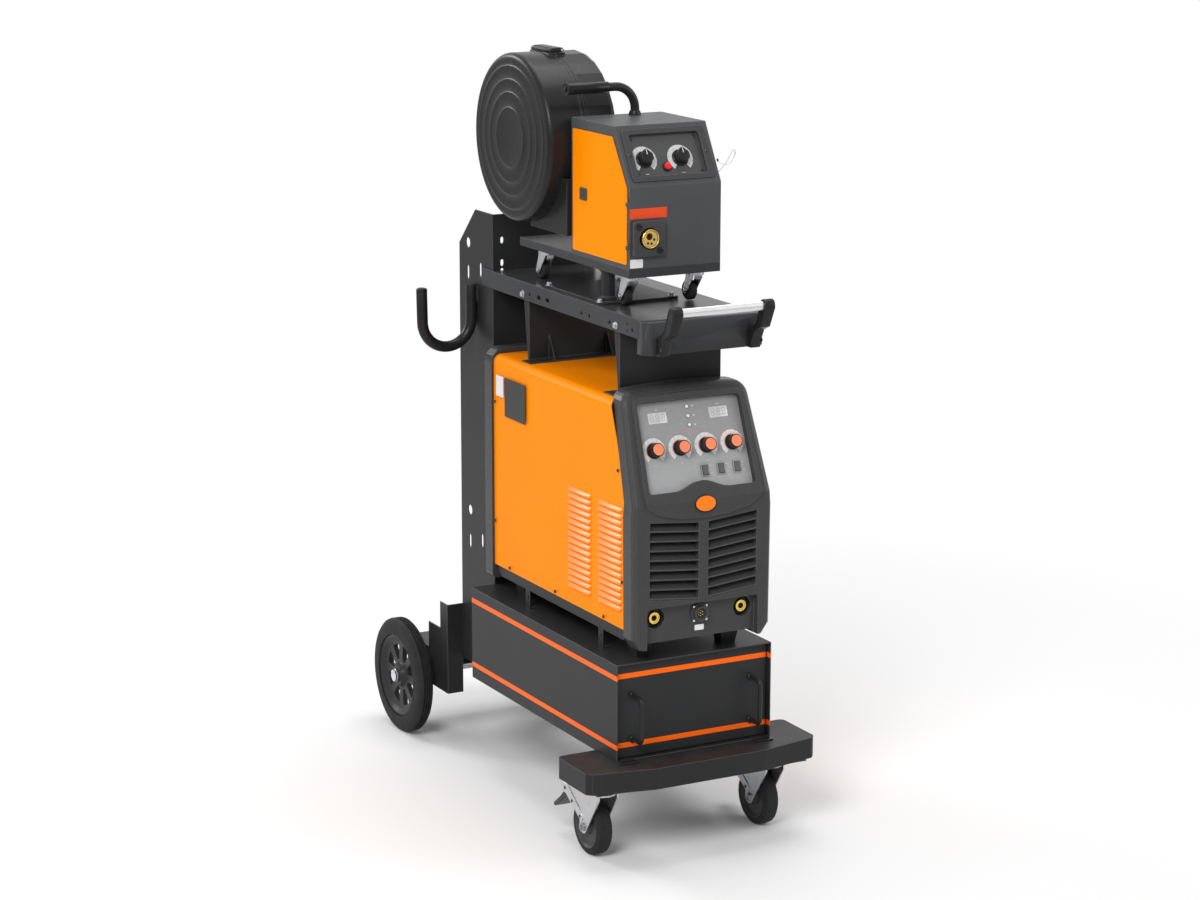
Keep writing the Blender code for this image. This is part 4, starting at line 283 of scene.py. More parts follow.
def brushed_metal(name, colour, roughness=0.3, scale=(40.0, 900.0, 900.0)):
    """Metal with drawing marks along one axis and faint stains."""
    surface = Surface(name)
    marks = surface.noise(1.0, 3.0, place=surface.stretched(scale))
    stain = surface.noise(45.0, 4.0)
    return surface.set(colour=surface.mix(shade(colour, 0.82), shade(colour, 1.08),
                                          marks * 0.6 + stain * 0.4), metallic=1.0,
                       roughness=marks * 0.14 + stain * 0.08 + (roughness - 0.1),
                       normal=surface.bump(marks, 0.00003, 0.5))


def zinc_plate(name, colour):
    """Zinc-plated steel with a soft spangle and darker stains."""
    surface = Surface(name)
    spangle = surface.cells(220.0)
    stain = surface.noise(60.0, 5.0)
    return surface.set(colour=surface.mix(shade(colour, 0.7), shade(colour, 1.1),
                                          spangle * 0.5 + stain * 0.5), metallic=0.9,
                       roughness=stain * 0.2 + 0.2, normal=surface.bump(stain, 0.00005, 0.4))


def rubber_surface(name, colour, roughness=0.7):
    """Rubber with a dull, slightly dusty grain."""
    surface = Surface(name)
    grain = surface.noise(700.0, 3.0)
    dust = surface.noise(30.0, 5.0).past(0.55, 0.3)
    return surface.set(colour=surface.mix(colour, shade(colour, 2.0), dust * 0.5),
                       roughness=grain * 0.15 + (roughness - 0.08),
                       normal=surface.bump(grain, 0.0001, 0.5), ior=PLASTIC_IOR)


def striped_coat(name, colour, stripe, bands):
    """Powder coat with painted bands on the cabinet's outer sides and front, given as pairs of heights."""
    surface = Surface(name)
    height = surface.along("Z")
    band = None
    for low, high in bands:
        inside = height.past(low, 0.0004) * (1.0 - height.past(high, 0.0004))
        band = inside if band is None else band + inside
    side = surface.along("X")
    outer = (side * side).past(CABINET_SIDE_SQUARED, 0.00002)
    front = 1.0 - surface.along("Y").past(DRAWER_FRONT, 0.0002)
    band = band * (1.0 - (1.0 - outer) * (1.0 - front))
    coat, grain = speckle(surface, colour)
    # painted highlight: sharp edges lightened towards a pale grey
    coat = surface.mix(coat, EDGE_HIGHLIGHT, surface.worn(SHEET_EDGE) * 0.6)
    return surface.set(colour=surface.mix(coat, stripe, band), ior=SHEET_IOR,
                       roughness=(grain * 0.16 + 0.32) - band * 0.06,
                       normal=surface.bump(grain, 0.0001, 0.4, SHEET_EDGE))


def printed_sheet(name, colour):
    """Matt printed control sheet, dark at its top and speckled."""
    surface = Surface(name)
    fleck = surface.noise(900.0, 2.0)
    fade = surface.along("Z").past(0.88, 0.2)
    base = surface.mix(shade(colour, 1.25), shade(colour, 0.75), fade)
    return surface.set(colour=surface.mix(base, shade(colour, 2.2), fleck.past(0.62, 0.1) * 0.4),
                       roughness=fleck * 0.1 + 0.4,
                       normal=surface.bump(fleck, 0.00004, 0.3))


def wound_wire(name, colour, pitch):
    """Fine wire laid side by side along X."""
    surface = Surface(name)
    turns = (surface.along("X") * (2 * math.pi / pitch)).wave()
    # painted shade in the grooves between turns and painted highlight on their crowns
    return surface.set(colour=surface.mix(shade(colour, 0.6), shade(colour, 1.1), turns * 0.5 + 0.5),
                       metallic=0.9,
                       roughness=0.3, normal=surface.bump(turns, 0.0003, 0.6))


def dark_gloss(name, colour):
    """Tinted display window."""
    surface = Surface(name)
    smear = surface.noise(80.0, 3.0)
    return surface.set(colour=surface.mix(shade(colour, 0.94), shade(colour, 1.04), smear),
                       roughness=smear * 0.06 + 0.12,
                       coat=0.5, coat_roughness=0.05)


ANTHRACITE = (0.02, 0.0205, 0.0215)
EDGE_HIGHLIGHT = (0.19, 0.19, 0.195)    # colour painted on sharp edges as a highlight
DUST = (0.12, 0.12, 0.12)
SHEET_IOR = 1.24                # low, so that flat sheet seen at a slant stays dark
PLASTIC_IOR = 1.27
SHEET_EDGE = 0.0022             # radius of folds and rims
HIGHLIGHT_START = 0.07               # how far a normal turns where the painted edge highlight sets in
HIGHLIGHT_SOFTNESS = 0.1
STRIPE_BANDS = ((0.247, 0.258), (0.3985, 0.4095))
CABINET_SIDE_SQUARED = 0.035   # just inside the cabinet's outer sides
DRAWER_FRONT = -0.5198          # just behind the drawer's face
SURFACES = {}


def make_surfaces():
    """Make every surface under the name by which pieces call for it."""
    looks = bpy.context.scene.welder_looks
    orange = tuple(looks.orange)
    stripe = tuple(looks.stripe)
    sheet = tuple(looks.sheet_metal)
    SURFACES.update({
        "black_powder": powder_coat("black_powder_coat", sheet),
        "shelf_powder": powder_coat("shelf_powder_coat", shade(sheet, 1.9), 0.28, edge_highlight=0.0),
        "case_powder": powder_coat("feeder_powder_coat", shade(sheet, 3.2), 0.42),
        "cabinet": striped_coat("cabinet_coat", shade(sheet, 1.2), stripe, STRIPE_BANDS),
        "black_plastic": moulded_plastic("black_moulding", (0.046, 0.0465, 0.048), 0.28, edge=SHEET_EDGE),
        "soft_plastic": moulded_plastic("soft_black_moulding", (0.014, 0.014, 0.015), 0.28, 500.0),
        "drum_plastic": moulded_plastic("drum_moulding", (0.013, 0.0132, 0.0138), 0.28, 700.0, 0.0016),
        "orange_paint": gloss_paint("orange_stoving_paint", orange),
        "louvre_paint": gloss_paint("louvre_stoving_paint", orange, 1.5),
        "salmon": moulded_plastic("salmon_cap", (0.9, 0.25, 0.12), 0.35),
        "orange_plate": moulded_plastic("orange_field", (0.9, 0.2, 0.01), 0.35),
        "red_plate": moulded_plastic("orange_red_plate", (0.72, 0.065, 0.015), 0.4),
        "white_plate": moulded_plastic("white_plate", (0.72, 0.72, 0.71), 0.4),
        "white_print": moulded_plastic("white_print", (0.62, 0.62, 0.62), 0.45),
        "segment": moulded_plastic("grey_segment", (0.3, 0.3, 0.3), 0.4),
        "display": dark_gloss("display_window", (0.55, 0.55, 0.54)),
        "lens": dark_gloss("lamp_lens", (0.7, 0.7, 0.68)),
        "grey_plate": printed_sheet("grey_control_sheet", (0.285, 0.287, 0.291)),
        "zinc": zinc_plate("zinc_plated_steel", (0.6, 0.61, 0.63)),
        "black_steel": zinc_plate("blackened_steel", (0.06, 0.06, 0.065)),
        "dull_steel": zinc_plate("dull_steel", (0.24, 0.24, 0.25)),
        "bright_steel": brushed_metal("bright_steel", (0.7, 0.7, 0.71), 0.22),
        "aluminium": brushed_metal("drawn_aluminium", (0.74, 0.74, 0.75), 0.3),
        "brass": brushed_metal("turned_brass", (0.86, 0.6, 0.16), 0.26, (900.0, 60.0, 900.0)),
        "rubber": rubber_surface("black_rubber", (0.016, 0.016, 0.017)),
        "grey_hub": moulded_plastic("grey_hub_moulding", (0.055, 0.055, 0.058), 0.45),
        "satin_black": moulded_plastic("satin_black_tube", (0.018, 0.018, 0.019), 0.3, 300.0),
        "gloss_rubber": moulded_plastic("polished_grip", (0.01, 0.01, 0.011), 0.2, 200.0),
        "dark_print": moulded_plastic("dark_print", (0.06, 0.06, 0.06), 0.5),
        "pale_plate": moulded_plastic("pale_dial", (0.55, 0.55, 0.55), 0.4),
        "black_label": moulded_plastic("black_plate", (0.03, 0.03, 0.03), 0.35),
        "feeder_sheet": printed_sheet("feeder_control_sheet", (0.05, 0.051, 0.053)),
        # the rockers' gloss black is painted mid-grey, standing in for their highlight
        "rocker": moulded_plastic("rocker_painted_highlight", (0.11, 0.11, 0.113), 0.22),
        "rim": moulded_plastic("rim_moulding", (0.028, 0.028, 0.03), 0.38),
        "red_plastic": moulded_plastic("red_button", (0.7, 0.02, 0.02), 0.25),
        "bore": moulded_plastic("brown_bore", (0.045, 0.012, 0.006), 0.6),
        "wire": wound_wire("copper_coated_wire", (0.8, 0.42, 0.25), 0.0016),
    })


NODE_SURFACES = {
    "black_powder": ("front_platform", "column", "axle_carrier", "pivot_post", "shelf_support_front",
                     "shelf_support_rear", "source_base"),
    "shelf_powder": ("shelf", "feeder_pan"),
    "case_powder": ("feeder_case",),
    "cabinet": ("cabinet_shell", "drawer"),
    "orange_paint": ("source_cover", "feeder_door"),
    "black_plastic": ("source_rear_bezel", "source_front_bezel", "remote_connector", "feeder_door_latch",
                      "feeder_control_panel", "euro_socket"),
    "drum_plastic": ("spool_cover_base",),
    "soft_plastic": ("brake_pedal_left", "brake_pedal_right", "hose_hook"),
    "rocker": ("source_switch_1", "source_switch_2", "source_switch_3"),
    "grey_plate": ("source_control_panel",),
    "zinc": ("caster_fork_left", "caster_fork_right", "wire_drive", "feeder_fork_1", "feeder_fork_2",
             "feeder_fork_3", "feeder_fork_4"),
    "bright_steel": ("rear_axle",),
    "brass": ("source_socket_left", "source_socket_right"),
    "red_plastic": ("feeder_button",),
    "wire": ("wire_spool",),
}


# slot of the frame that each surface stands for, where a piece names no other
SLOT_SURFACES = {
    "bright_steel": ("aluminium", "dull_steel",),
    "black_plastic": ("black_label", "black_plastic", "bore", "drum_plastic", "feeder_sheet",
                      "grey_hub", "rim", "soft_plastic",),
    "black_powder": ("black_powder", "satin_black", "shelf_powder",),
    "zinc": ("black_steel", "bright_steel", "zinc",),
    "brass": ("brass",),
    "grey_plate": ("dark_print", "display", "lens", "pale_plate", "segment", "white_plate", "white_print",),
    "black_rubber": ("gloss_rubber", "rubber",),
    "orange_paint": ("louvre_paint", "orange_plate", "red_plate", "salmon",),
    "red_plastic": ("red_plastic",),
    "copper_wire": ("wire",),
}
SLOTS = {surface: slot for slot, surfaces in SLOT_SURFACES.items() for surface in surfaces}


# ---------------------------------------------------------------- modelling
def deselect():
    """Leave edit mode and select nothing."""
    if bpy.context.object and bpy.context.object.mode != "OBJECT":
        bpy.ops.object.mode_set(mode="OBJECT")
    bpy.ops.object.select_all(action="DESELECT")


def edit():
    """Edit the active piece, all of it selected."""
    bpy.ops.object.mode_set(mode="EDIT")
    bpy.ops.mesh.select_all(action="SELECT")


def leave():
    """End editing and give the piece."""
    bpy.ops.object.mode_set(mode="OBJECT")
    return bpy.context.object


def only(piece):
    """Select one piece and make it active."""
    deselect()
    piece.select_set(True)
    bpy.context.view_layer.objects.active = piece
    return piece


def across(axis, a, b, c):
    """Point from two coordinates across an axis and one along it."""
    return {"X": (c, a, b), "Y": (a, c, b), "Z": (a, b, c)}[axis]


def ring_of(points, fill):
    """A circle primitive whose corners are set to given points."""
    deselect()
    bpy.ops.mesh.primitive_circle_add(vertices=len(points), radius=0.01, fill_type=fill)
    piece = bpy.context.object
    for corner, point in zip(piece.data.vertices, points):
        corner.co = point
    return piece


def plate(outline, axis, low, high):
    """Outline extruded along an axis."""
    ring_of([across(axis, a, b, low) for a, b in outline], "NGON")
    edit()
    bpy.ops.mesh.extrude_region_move(TRANSFORM_OT_translate={"value": across(axis, 0.0, 0.0, high - low)})
    bpy.ops.mesh.select_all(action="SELECT")
    bpy.ops.mesh.normals_make_consistent(inside=False)
    return leave()


def turned(profile, axis="Z", centre=(0, 0, 0), steps=48):
    """Closed profile of (along, radius) points spun about an axis."""
    places = {"X": lambda along, r: (along, 0.0, r), "Y": lambda along, r: (0.0, along, r),
              "Z": lambda along, r: (r, 0.0, along)}
    centre = Vector(centre)
    ring_of([Vector(places[axis](along, r)) + centre for along, r in profile], "NOTHING")
    edit()
    bpy.ops.mesh.spin(steps=steps, angle=2 * math.pi, center=centre, axis=across(axis, 0.0, 0.0, 1.0))
    bpy.ops.mesh.select_all(action="SELECT")
    bpy.ops.mesh.remove_doubles(threshold=0.000002)
    bpy.ops.mesh.delete_loose(use_verts=True, use_edges=True, use_faces=False)
    bpy.ops.mesh.select_all(action="SELECT")
    bpy.ops.mesh.normals_make_consistent(inside=False)
    return leave()


def bar(path, radius, sides=20):
    """Round bar along a path of points."""
    deselect()
    bpy.ops.mesh.primitive_circle_add(vertices=sides, radius=radius, fill_type="NGON")
    piece = bpy.context.object
    points = [Vector(point) for point in path]
    heading = (points[1] - points[0]).normalized()
    turn = Vector((0, 0, 1)).rotation_difference(heading).to_matrix().to_4x4()
    piece.data.transform(Matrix.Translation(points[0]) @ turn)
    edit()
    for index in range(1, len(points)):
        step = points[index] - points[index - 1]
        bpy.ops.mesh.extrude_region_move(TRANSFORM_OT_translate={"value": step})
        if index < len(points) - 1:
            onward = (points[index + 1] - points[index]).normalized()
            mitre = (heading + onward).normalized()
        else:
            onward = mitre = heading
        piece.update_from_editmode()
        selected = [corner.index for corner in piece.data.vertices if corner.select]
        bpy.ops.object.mode_set(mode="OBJECT")
        for corner in selected:
            offset = piece.data.vertices[corner].co - points[index]
            along = offset.dot(mitre) / heading.dot(mitre)
            piece.data.vertices[corner].co -= heading * along
        heading = onward
        bpy.ops.object.mode_set(mode="EDIT")
    bpy.ops.mesh.select_all(action="SELECT")
    bpy.ops.mesh.normals_make_consistent(inside=False)
    return leave()


def arc(centre, radius, start, stop, steps):
    """Points on an arc between two angles in degrees."""
    points = []
    for step in range(steps + 1):
        angle = math.radians(start + (stop - start) * step / steps)
        points.append((centre[0] + radius * math.cos(angle), centre[1] + radius * math.sin(angle)))
    return points


def oblong(x, y, half_x, half_y, radius, steps=5):
    """Rectangle with round corners, as an outline."""
    outline = []
    for sign_x, sign_y, start in ((1, 1, 0), (-1, 1, 90), (-1, -1, 180), (1, -1, 270)):
        corner = (x + sign_x * (half_x - radius), y + sign_y * (half_y - radius))
        outline += arc(corner, radius, start, start + 90, steps)
    return outline


def bevel(piece, width, segments=2, angle=40.0):
    """Round the edges that turn by more than an angle."""
    only(piece)
    edge = piece.modifiers.new("edges", "BEVEL")
    edge.width = width
    edge.segments = segments
    edge.limit_method = "ANGLE"
    edge.angle_limit = math.radians(angle)
    bpy.ops.object.modifier_apply(modifier=edge.name)
    return piece


def cut(piece, tool):
    """Take a tool's volume out of a piece; the tool is used up."""
    only(piece)
    change = piece.modifiers.new("cut", "BOOLEAN")
    change.operation = "DIFFERENCE"
    change.solver = "EXACT"
    change.object = tool
    bpy.ops.object.modifier_apply(modifier=change.name)
    bpy.data.objects.remove(tool)
    return piece


def together(pieces):
    """Join pieces into the first of them."""
    only(pieces[0])
    for piece in pieces[1:]:
        piece.select_set(True)
    if len(pieces) > 1:
        bpy.ops.object.join()
    return bpy.context.object


def discard(*pieces):
    for piece in pieces:
        bpy.data.objects.remove(piece)


def both_sides(profile, middle=0.0):
    """Profile of (along, radius) points and its mirror image about a middle, as one outline."""
    return [(middle + a, r) for a, r in profile] + [(middle - a, r) for a, r in reversed(profile)]


def copy_of(piece, matrix):
    """Copy of a piece with its own mesh, put through a matrix."""
    only(piece)
    bpy.ops.object.duplicate()
    twin = bpy.context.object
    twin.data.transform(matrix)
    if matrix.determinant() < 0:
        edit()
        bpy.ops.mesh.flip_normals()
        leave()
    return twin


def moved(piece, matrix):
    """The piece itself, its mesh put through a matrix."""
    piece.data.transform(matrix)
    return piece


def mirror(piece):
    """Copy of a piece on the machine's other side."""
    return copy_of(piece, Matrix.Scale(-1, 4, (1, 0, 0)))


def shift_by(x, y, z):
    return Matrix.Translation((x, y, z))


def put(piece, name, body, surface, slot=None, frame_matrix=None):
    """Finish a piece: its place, its surface, smooth faces and the body that carries it."""
    slot = slot or SLOTS[surface]
    if frame_matrix:
        piece.data.transform(frame_matrix)
    piece.data.transform(Matrix.Translation(SHIFT))
    only(piece)
    piece.name = name
    piece.data.name = name
    piece.data.materials.clear()
    piece.data.materials.append(SURFACES[surface])
    bpy.ops.object.shade_smooth_by_angle(angle=math.radians(SMOOTH_ANGLE))
    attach(piece, body)
    return piece


def screw(radius=0.0038, height=0.0022, steps=18):
    """Pan head with a cross recess, about Z, standing on the origin."""
    head = turned([(0.0, 0.0), (0.0, radius), (height * 0.45, radius), (height * 0.85, radius * 0.75),
                   (height, radius * 0.4), (height, 0.0)], steps=steps)
    arm = radius * 0.55
    for long, short in ((arm, arm * 0.25), (arm * 0.25, arm)):
        tool = plate(oblong(0, 0, long, short, short * 0.2 if long > short else long * 0.2, 1), "Z",
                     height * 0.35, height * 2)
        cut(head, tool)
    return head


def hex_bolt(radius=0.0065, height=0.0045, washer=0.009):
    """Hexagon head on a washer, about Z, standing on the origin."""
    head = plate(arc((0, 0), radius, 0, 300, 5), "Z", 0.0012, 0.0012 + height)
    bevel(head, radius * 0.12, 2)
    disc = bevel(turned([(0.0, 0.0), (0.0, washer), (0.0014, washer), (0.0014, 0.0)], steps=24), 0.0003, 1)
    return together([head, disc])


def facing(axis, sign, place):
    """Matrix that stands a Z-up piece on a wall facing along an axis."""
    turn = {"X": Matrix.Rotation(math.radians(90 * sign), 4, "Y"),
            "Y": Matrix.Rotation(math.radians(-90 * sign), 4, "X"),
            "Z": Matrix.Identity(4)}[axis]
    return Matrix.Translation(place) @ turn


def set_of(master, matrices):
    """Copies of a piece at several places, as one piece; the first model is used up."""
    copies = [copy_of(master, matrix) for matrix in matrices]
    bpy.data.objects.remove(master)
    return together(copies)


# ---------------------------------------------------------------- sizes and colours
class WelderLooks(bpy.types.PropertyGroup):
    orange: FloatVectorProperty(name="Cover colour",
                                description="Colour of the cover and the feeder's door",
                                subtype="COLOR", size=3, min=0.0, max=1.0, default=(1.0, 0.262, 0.0))
    stripe: FloatVectorProperty(name="Stripe colour", description="Colour of the cabinet's painted stripes",
                                subtype="COLOR", size=3, min=0.0, max=1.0, default=(1.0, 0.133, 0.0))
    sheet_metal: FloatVectorProperty(name="Sheet colour", description="Colour of the cart's powder coat",
                                     subtype="COLOR", size=3, min=0.0, max=1.0, default=ANTHRACITE)
    light: FloatProperty(name="Lamps", description="Strength of the studio's lamps", min=0.1, max=3.0,
                         default=1.0)


class WelderSizes(bpy.types.PropertyGroup):
    tyre_grooves: IntProperty(name="Tyre grooves", description="Grooves round each rear tyre", min=0,
                              max=6, default=3)
    rim_windows: IntProperty(name="Rim windows", description="Openings in each rear rim", min=3, max=12,
                             default=8)
    knob_ribs: IntProperty(name="Knob ribs", description="Ribs round each power source knob", min=8,
                           max=40, default=24)
    grip_radius: FloatProperty(name="Grip radius", description="Radius of the feeder's grip", unit="LENGTH",
                               min=0.008, max=0.015, default=0.012)
    edge: FloatProperty(name="Edge round", description="Rounding of moulded edges", unit="LENGTH",
                        min=0.0002, max=0.004, default=0.0016)


# ---------------------------------------------------------------- solids and wheels
class WELDER_OT_surfaces(bpy.types.Operator):
    """Give every solid of the frame its surface"""
    bl_idname = "welder.surfaces"
    bl_label = "Surfaces"

    def execute(self, context):
        make_surfaces()
        for surface, nodes in NODE_SURFACES.items():
            for node in nodes:
                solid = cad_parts[node]
                solid.data.materials.clear()
                solid.data.materials.append(SURFACES[surface])
        return {"FINISHED"}


class WELDER_OT_rear_wheels(bpy.types.Operator):
    """Grooved rear tyres on spoked rims with their axle caps"""
    bl_idname = "welder.rear_wheels"
    bl_label = "Rear wheels"

    def execute(self, context):
        sizes = context.scene.welder_sizes
        centre = (0.0, *REAR_AXLE)
        inner, outer = 0.188, 0.229
        radius = REAR_AXLE[1]
        seat = 0.0985
        wall = [(inner, seat), (inner, seat + 0.012), (inner + 0.001, radius - 0.014),
                (inner + 0.004, radius - 0.005),
                (inner + 0.008, radius - 0.001)]
        tread = []
        for groove in range(sizes.tyre_grooves):
            along = inner + 0.008 + 0.025 * (groove + 1) / (sizes.tyre_grooves + 1)
            tread += [(along - 0.0022, radius), (along - 0.0014, radius - 0.0042),
                      (along + 0.0014, radius - 0.0042),
                      (along + 0.0022, radius)]
        middle = inner + outer
        profile = wall + tread + [(middle - along, r) for along, r in reversed(wall)]
        tyre = turned(profile, "X", centre, 72)
        rim = 0.0978
        flat = (inner + outer) / 2
        ledge = [(outer - 0.003, rim), (outer - 0.003, rim - 0.005), (outer - 0.005, rim - 0.007),
                 (flat + 0.009, rim - 0.013), (flat + 0.006, rim - 0.019), (flat + 0.006, 0.031),
                 (flat + 0.009, 0.028),
                 (outer - 0.0055, 0.0255), (outer - 0.0045, 0.024), (outer - 0.0045, 0.0103)]
        back = [(middle - along, r) for along, r in reversed(ledge)]
        disc = turned(ledge + back, "X", centre, 64)
        reach = 180.0 / sizes.rim_windows
        for index in range(sizes.rim_windows):
            turn = 2 * reach * (index + 0.5)
            wide = reach - math.degrees(0.01 / (rim - 0.027))
            narrow = reach - math.degrees(0.0085 / 0.037)
            window = arc(REAR_AXLE, rim - 0.024, turn - wide, turn + wide, 6)
            window += arc(REAR_AXLE, 0.037, turn + narrow, turn - narrow, 2)
            cut(disc, bevel(plate(window, "X", inner, outer), 0.003, 2, 60))
        bevel(disc, 0.0009, 2, 40)
        nut = turned([(outer - 0.0042, 0.0), (outer - 0.0042, 0.0162), (outer + 0.001, 0.0162),
                      (outer + 0.0032, 0.0145),
                      (outer + 0.0075, 0.0075), (outer + 0.0079, 0.0)], "X", centre, 40)
        for hand, name in ((-1, "left"), (1, "right")):
            flip = Matrix.Scale(hand, 4, (1, 0, 0))
            body = f"rear_wheel_{name}"
            piece = put(copy_of(tyre, flip), f"tyre_rear_{name}", body, "rubber")
            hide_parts(f"rear_tyre_{name}")
            piece = put(copy_of(disc, flip), f"rim_rear_{name}", body, "rim")
            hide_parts(f"rear_rim_{name}")
            put(copy_of(nut, flip), f"axle_cap_{name}", "cart", "dull_steel")
        discard(tyre, disc, nut)
        return {"FINISHED"}


class WELDER_OT_front_casters(bpy.types.Operator):
    """Front caster wheels with hubs, axle bolts, swivel races and brake levers"""
    bl_idname = "welder.front_casters"
    bl_label = "Front casters"

    def execute(self, context):
        x = CASTER_X
        radius = CASTER_AXLE[1]
        centre = (0.0, *CASTER_AXLE)
        half = 0.0185
        crown = [(half - 0.0005, radius - 0.014), (half - 0.0015, radius - 0.006),
                 (half - 0.005, radius - 0.0015),
                 (half - 0.01, radius - 0.0003), (0.0, radius)]
        tyre = turned([(x + a, r) for a, r in crown] + [(x - a, r) for a, r in reversed(crown[:-1])]
                      + [(x - half + 0.006, radius - 0.016), (x + half - 0.006, radius - 0.016)], "X",
                      centre, 56)
        rim = [(half - 0.001, radius - 0.0148), (half - 0.0035, radius - 0.0185),
               (half - 0.008, radius - 0.021),
               (half - 0.008, 0.0185), (half - 0.001, 0.0165), (half + 0.0012, 0.013),
               (half + 0.0012, 0.0064)]
        hub = turned(both_sides(rim, x), "X", centre, 48)
        swivel = turned([(0.1596, 0.0), (0.1596, 0.0265), (0.1575, 0.0285), (0.1545, 0.0265),
                         (0.1545, 0.0)][::-1],
                        "Z", (x, -0.342, 0), 48)
        bolt = set_of(hex_bolt(0.0085, 0.0045, 0.0098),
                      [facing("X", side, (x + side * 0.0236, *CASTER_AXLE))
                                                         for side in (-1, 1)])
        lever = plate([(-0.206, 0.132), (-0.214, 0.138), (-0.232, 0.136), (-0.297, 0.092),
                       (-0.303, 0.08), (-0.297, 0.074),
                       (-0.286, 0.078), (-0.226, 0.114), (-0.21, 0.116)], "X", x - 0.0255, x - 0.0237)
        bevel(lever, 0.0005, 1)
        rivets = set_of(turned([(0.0, 0.0), (0.0, 0.0035), (0.0012, 0.003), (0.0018, 0.0)], steps=16),
                        [facing("X", -1, (x - 0.0255, y, z)) for y,
                         z in ((-0.222, 0.126), (-0.254, 0.106), (-0.29, 0.083))])
        step = plate([(-0.262, 0.128), (-0.262, 0.112), (-0.248, 0.11), (-0.214, 0.102),
                      (-0.198, 0.089), (-0.164, 0.066),
                      (-0.158, 0.066), (-0.156, 0.072), (-0.19, 0.098), (-0.209, 0.118), (-0.242, 0.1275)],
                     "X", x - 0.0193, x + 0.0193)
        bevel(step, 0.0018, 3, 50)
        treads = []
        for index in range(5):
            y = -0.19 + index * 0.0062
            top = 0.0995 - index * 0.0049
            treads.append(bevel(plate(oblong(x, y, 0.0155, 0.0013, 0.0012, 2), "Z", top - 0.009, top),
                                0.0004, 1))
        treads = together(treads)
        for reach, name in ((0.0, "right"), (-2 * x, "left")):
            flip = shift_by(reach, 0, 0)
            roller, fork, pedal = f"caster_roller_{name}", f"caster_{name}", f"brake_{name}"
            piece = put(copy_of(tyre, flip), f"caster_tyre_{name}", roller, "rubber")
            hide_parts(f"caster_wheel_{name}")
            put(copy_of(hub, flip), f"caster_hub_{name}", roller, "grey_hub", "black_rubber")
            put(copy_of(swivel, flip), f"caster_race_{name}", fork, "zinc")
            put(copy_of(bolt, flip), f"caster_bolts_{name}", fork, "dull_steel", "zinc")
            put(copy_of(lever, flip), f"brake_link_{name}", fork, "zinc")
            put(copy_of(rivets, flip), f"brake_rivets_{name}", fork, "black_steel")
            piece = put(copy_of(step, flip), f"brake_step_{name}", pedal, "soft_plastic")
            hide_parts(f"brake_pedal_{name}")
            put(copy_of(treads, flip), f"brake_treads_{name}", pedal, "soft_plastic")
        discard(tyre, hub, swivel, bolt, lever, rivets, step, treads)
        return {"FINISHED"}


class WELDER_OT_feeder_casters(bpy.types.Operator):
    """Small casters under the feeder, with their wheels, guards and rivets"""
    bl_idname = "welder.feeder_casters"
    bl_label = "Feeder casters"

    def execute(self, context):
        low = SHELF_TOP + GAP
        radius = 0.0215
        half = 0.009
        rim = [(half + 0.0006, 0.0032), (half + 0.0006, 0.007), (half - 0.0018, 0.0082),
               (half - 0.0018, 0.0125),
               (half, 0.014), (half - 0.0006, radius - 0.003), (half - 0.003, radius - 0.0004),
               (0.0, radius)]
        wheel = turned(rim + [(-a, r) for a, r in reversed(rim[:-1])], "X", (0, 0.022, low + radius), 40)
        pin = set_of(turned([(0.0, 0.0), (0.0, 0.0048), (0.0016, 0.0042), (0.0024, 0.0)], steps=20),
                     [facing("X", side, (side * 0.0128, 0.022, low + radius)) for side in (-1, 1)])
        top = low + 0.0705 - 2 * GAP
        hood = turned([(top - 0.0005, 0.0), (top - 0.0005, 0.0192), (top - 0.004, 0.0198),
                       (top - 0.012, 0.0196),
                       (top - 0.012, 0.0)][::-1], steps=36)
        for index, (x, y) in enumerate(FEEDER_CASTERS, 1):
            place = shift_by(x, y, 0)
            piece = put(copy_of(wheel, place), f"small_wheel_{index}", f"feeder_roller_{index}", "rubber")
            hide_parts(f"feeder_wheel_{index}")
            put(copy_of(pin, place), f"small_axle_{index}", f"feeder_caster_{index}", "bright_steel")
            put(copy_of(hood, place), f"small_race_{index}", f"feeder_caster_{index}", "zinc")
        discard(wheel, pin, hood)
        return {"FINISHED"}


# ---------------------------------------------------------------- cart
class WELDER_OT_drawer_bows(bpy.types.Operator):
    """Bent wire handles on the drawer's front, with their end collars"""
    bl_idname = "welder.drawer_bows"
    bl_label = "Drawer handles"

    def execute(self, context):
        low, high = 0.2638, 0.3598
        front, wall, bend = -0.4056, -0.3666, 0.012
        path = [(wall, low)] + arc((front + bend, low + bend), bend, 270, 180, 7)
        path += arc((front + bend, high - bend), bend, 180, 90, 7) + [(wall, high)]
        bow = bar([(0.0, y, z) for y, z in path], 0.00485, 16)
        for z in (low, high):
            collar = turned([(wall, 0.004), (wall, 0.0085), (wall - 0.0016, 0.0085),
                             (wall - 0.0028, 0.0072),
                             (wall - 0.0028, 0.004)], "Y", (0, 0, z), 24)
            bow = together([bow, collar])
        for x, name in ((-0.144, "left"), (0.144, "right")):
            put(copy_of(bow, shift_by(x, 0, 0)), f"drawer_bow_{name}", "drawer", "satin_black")
        discard(bow)
        return {"FINISHED"}


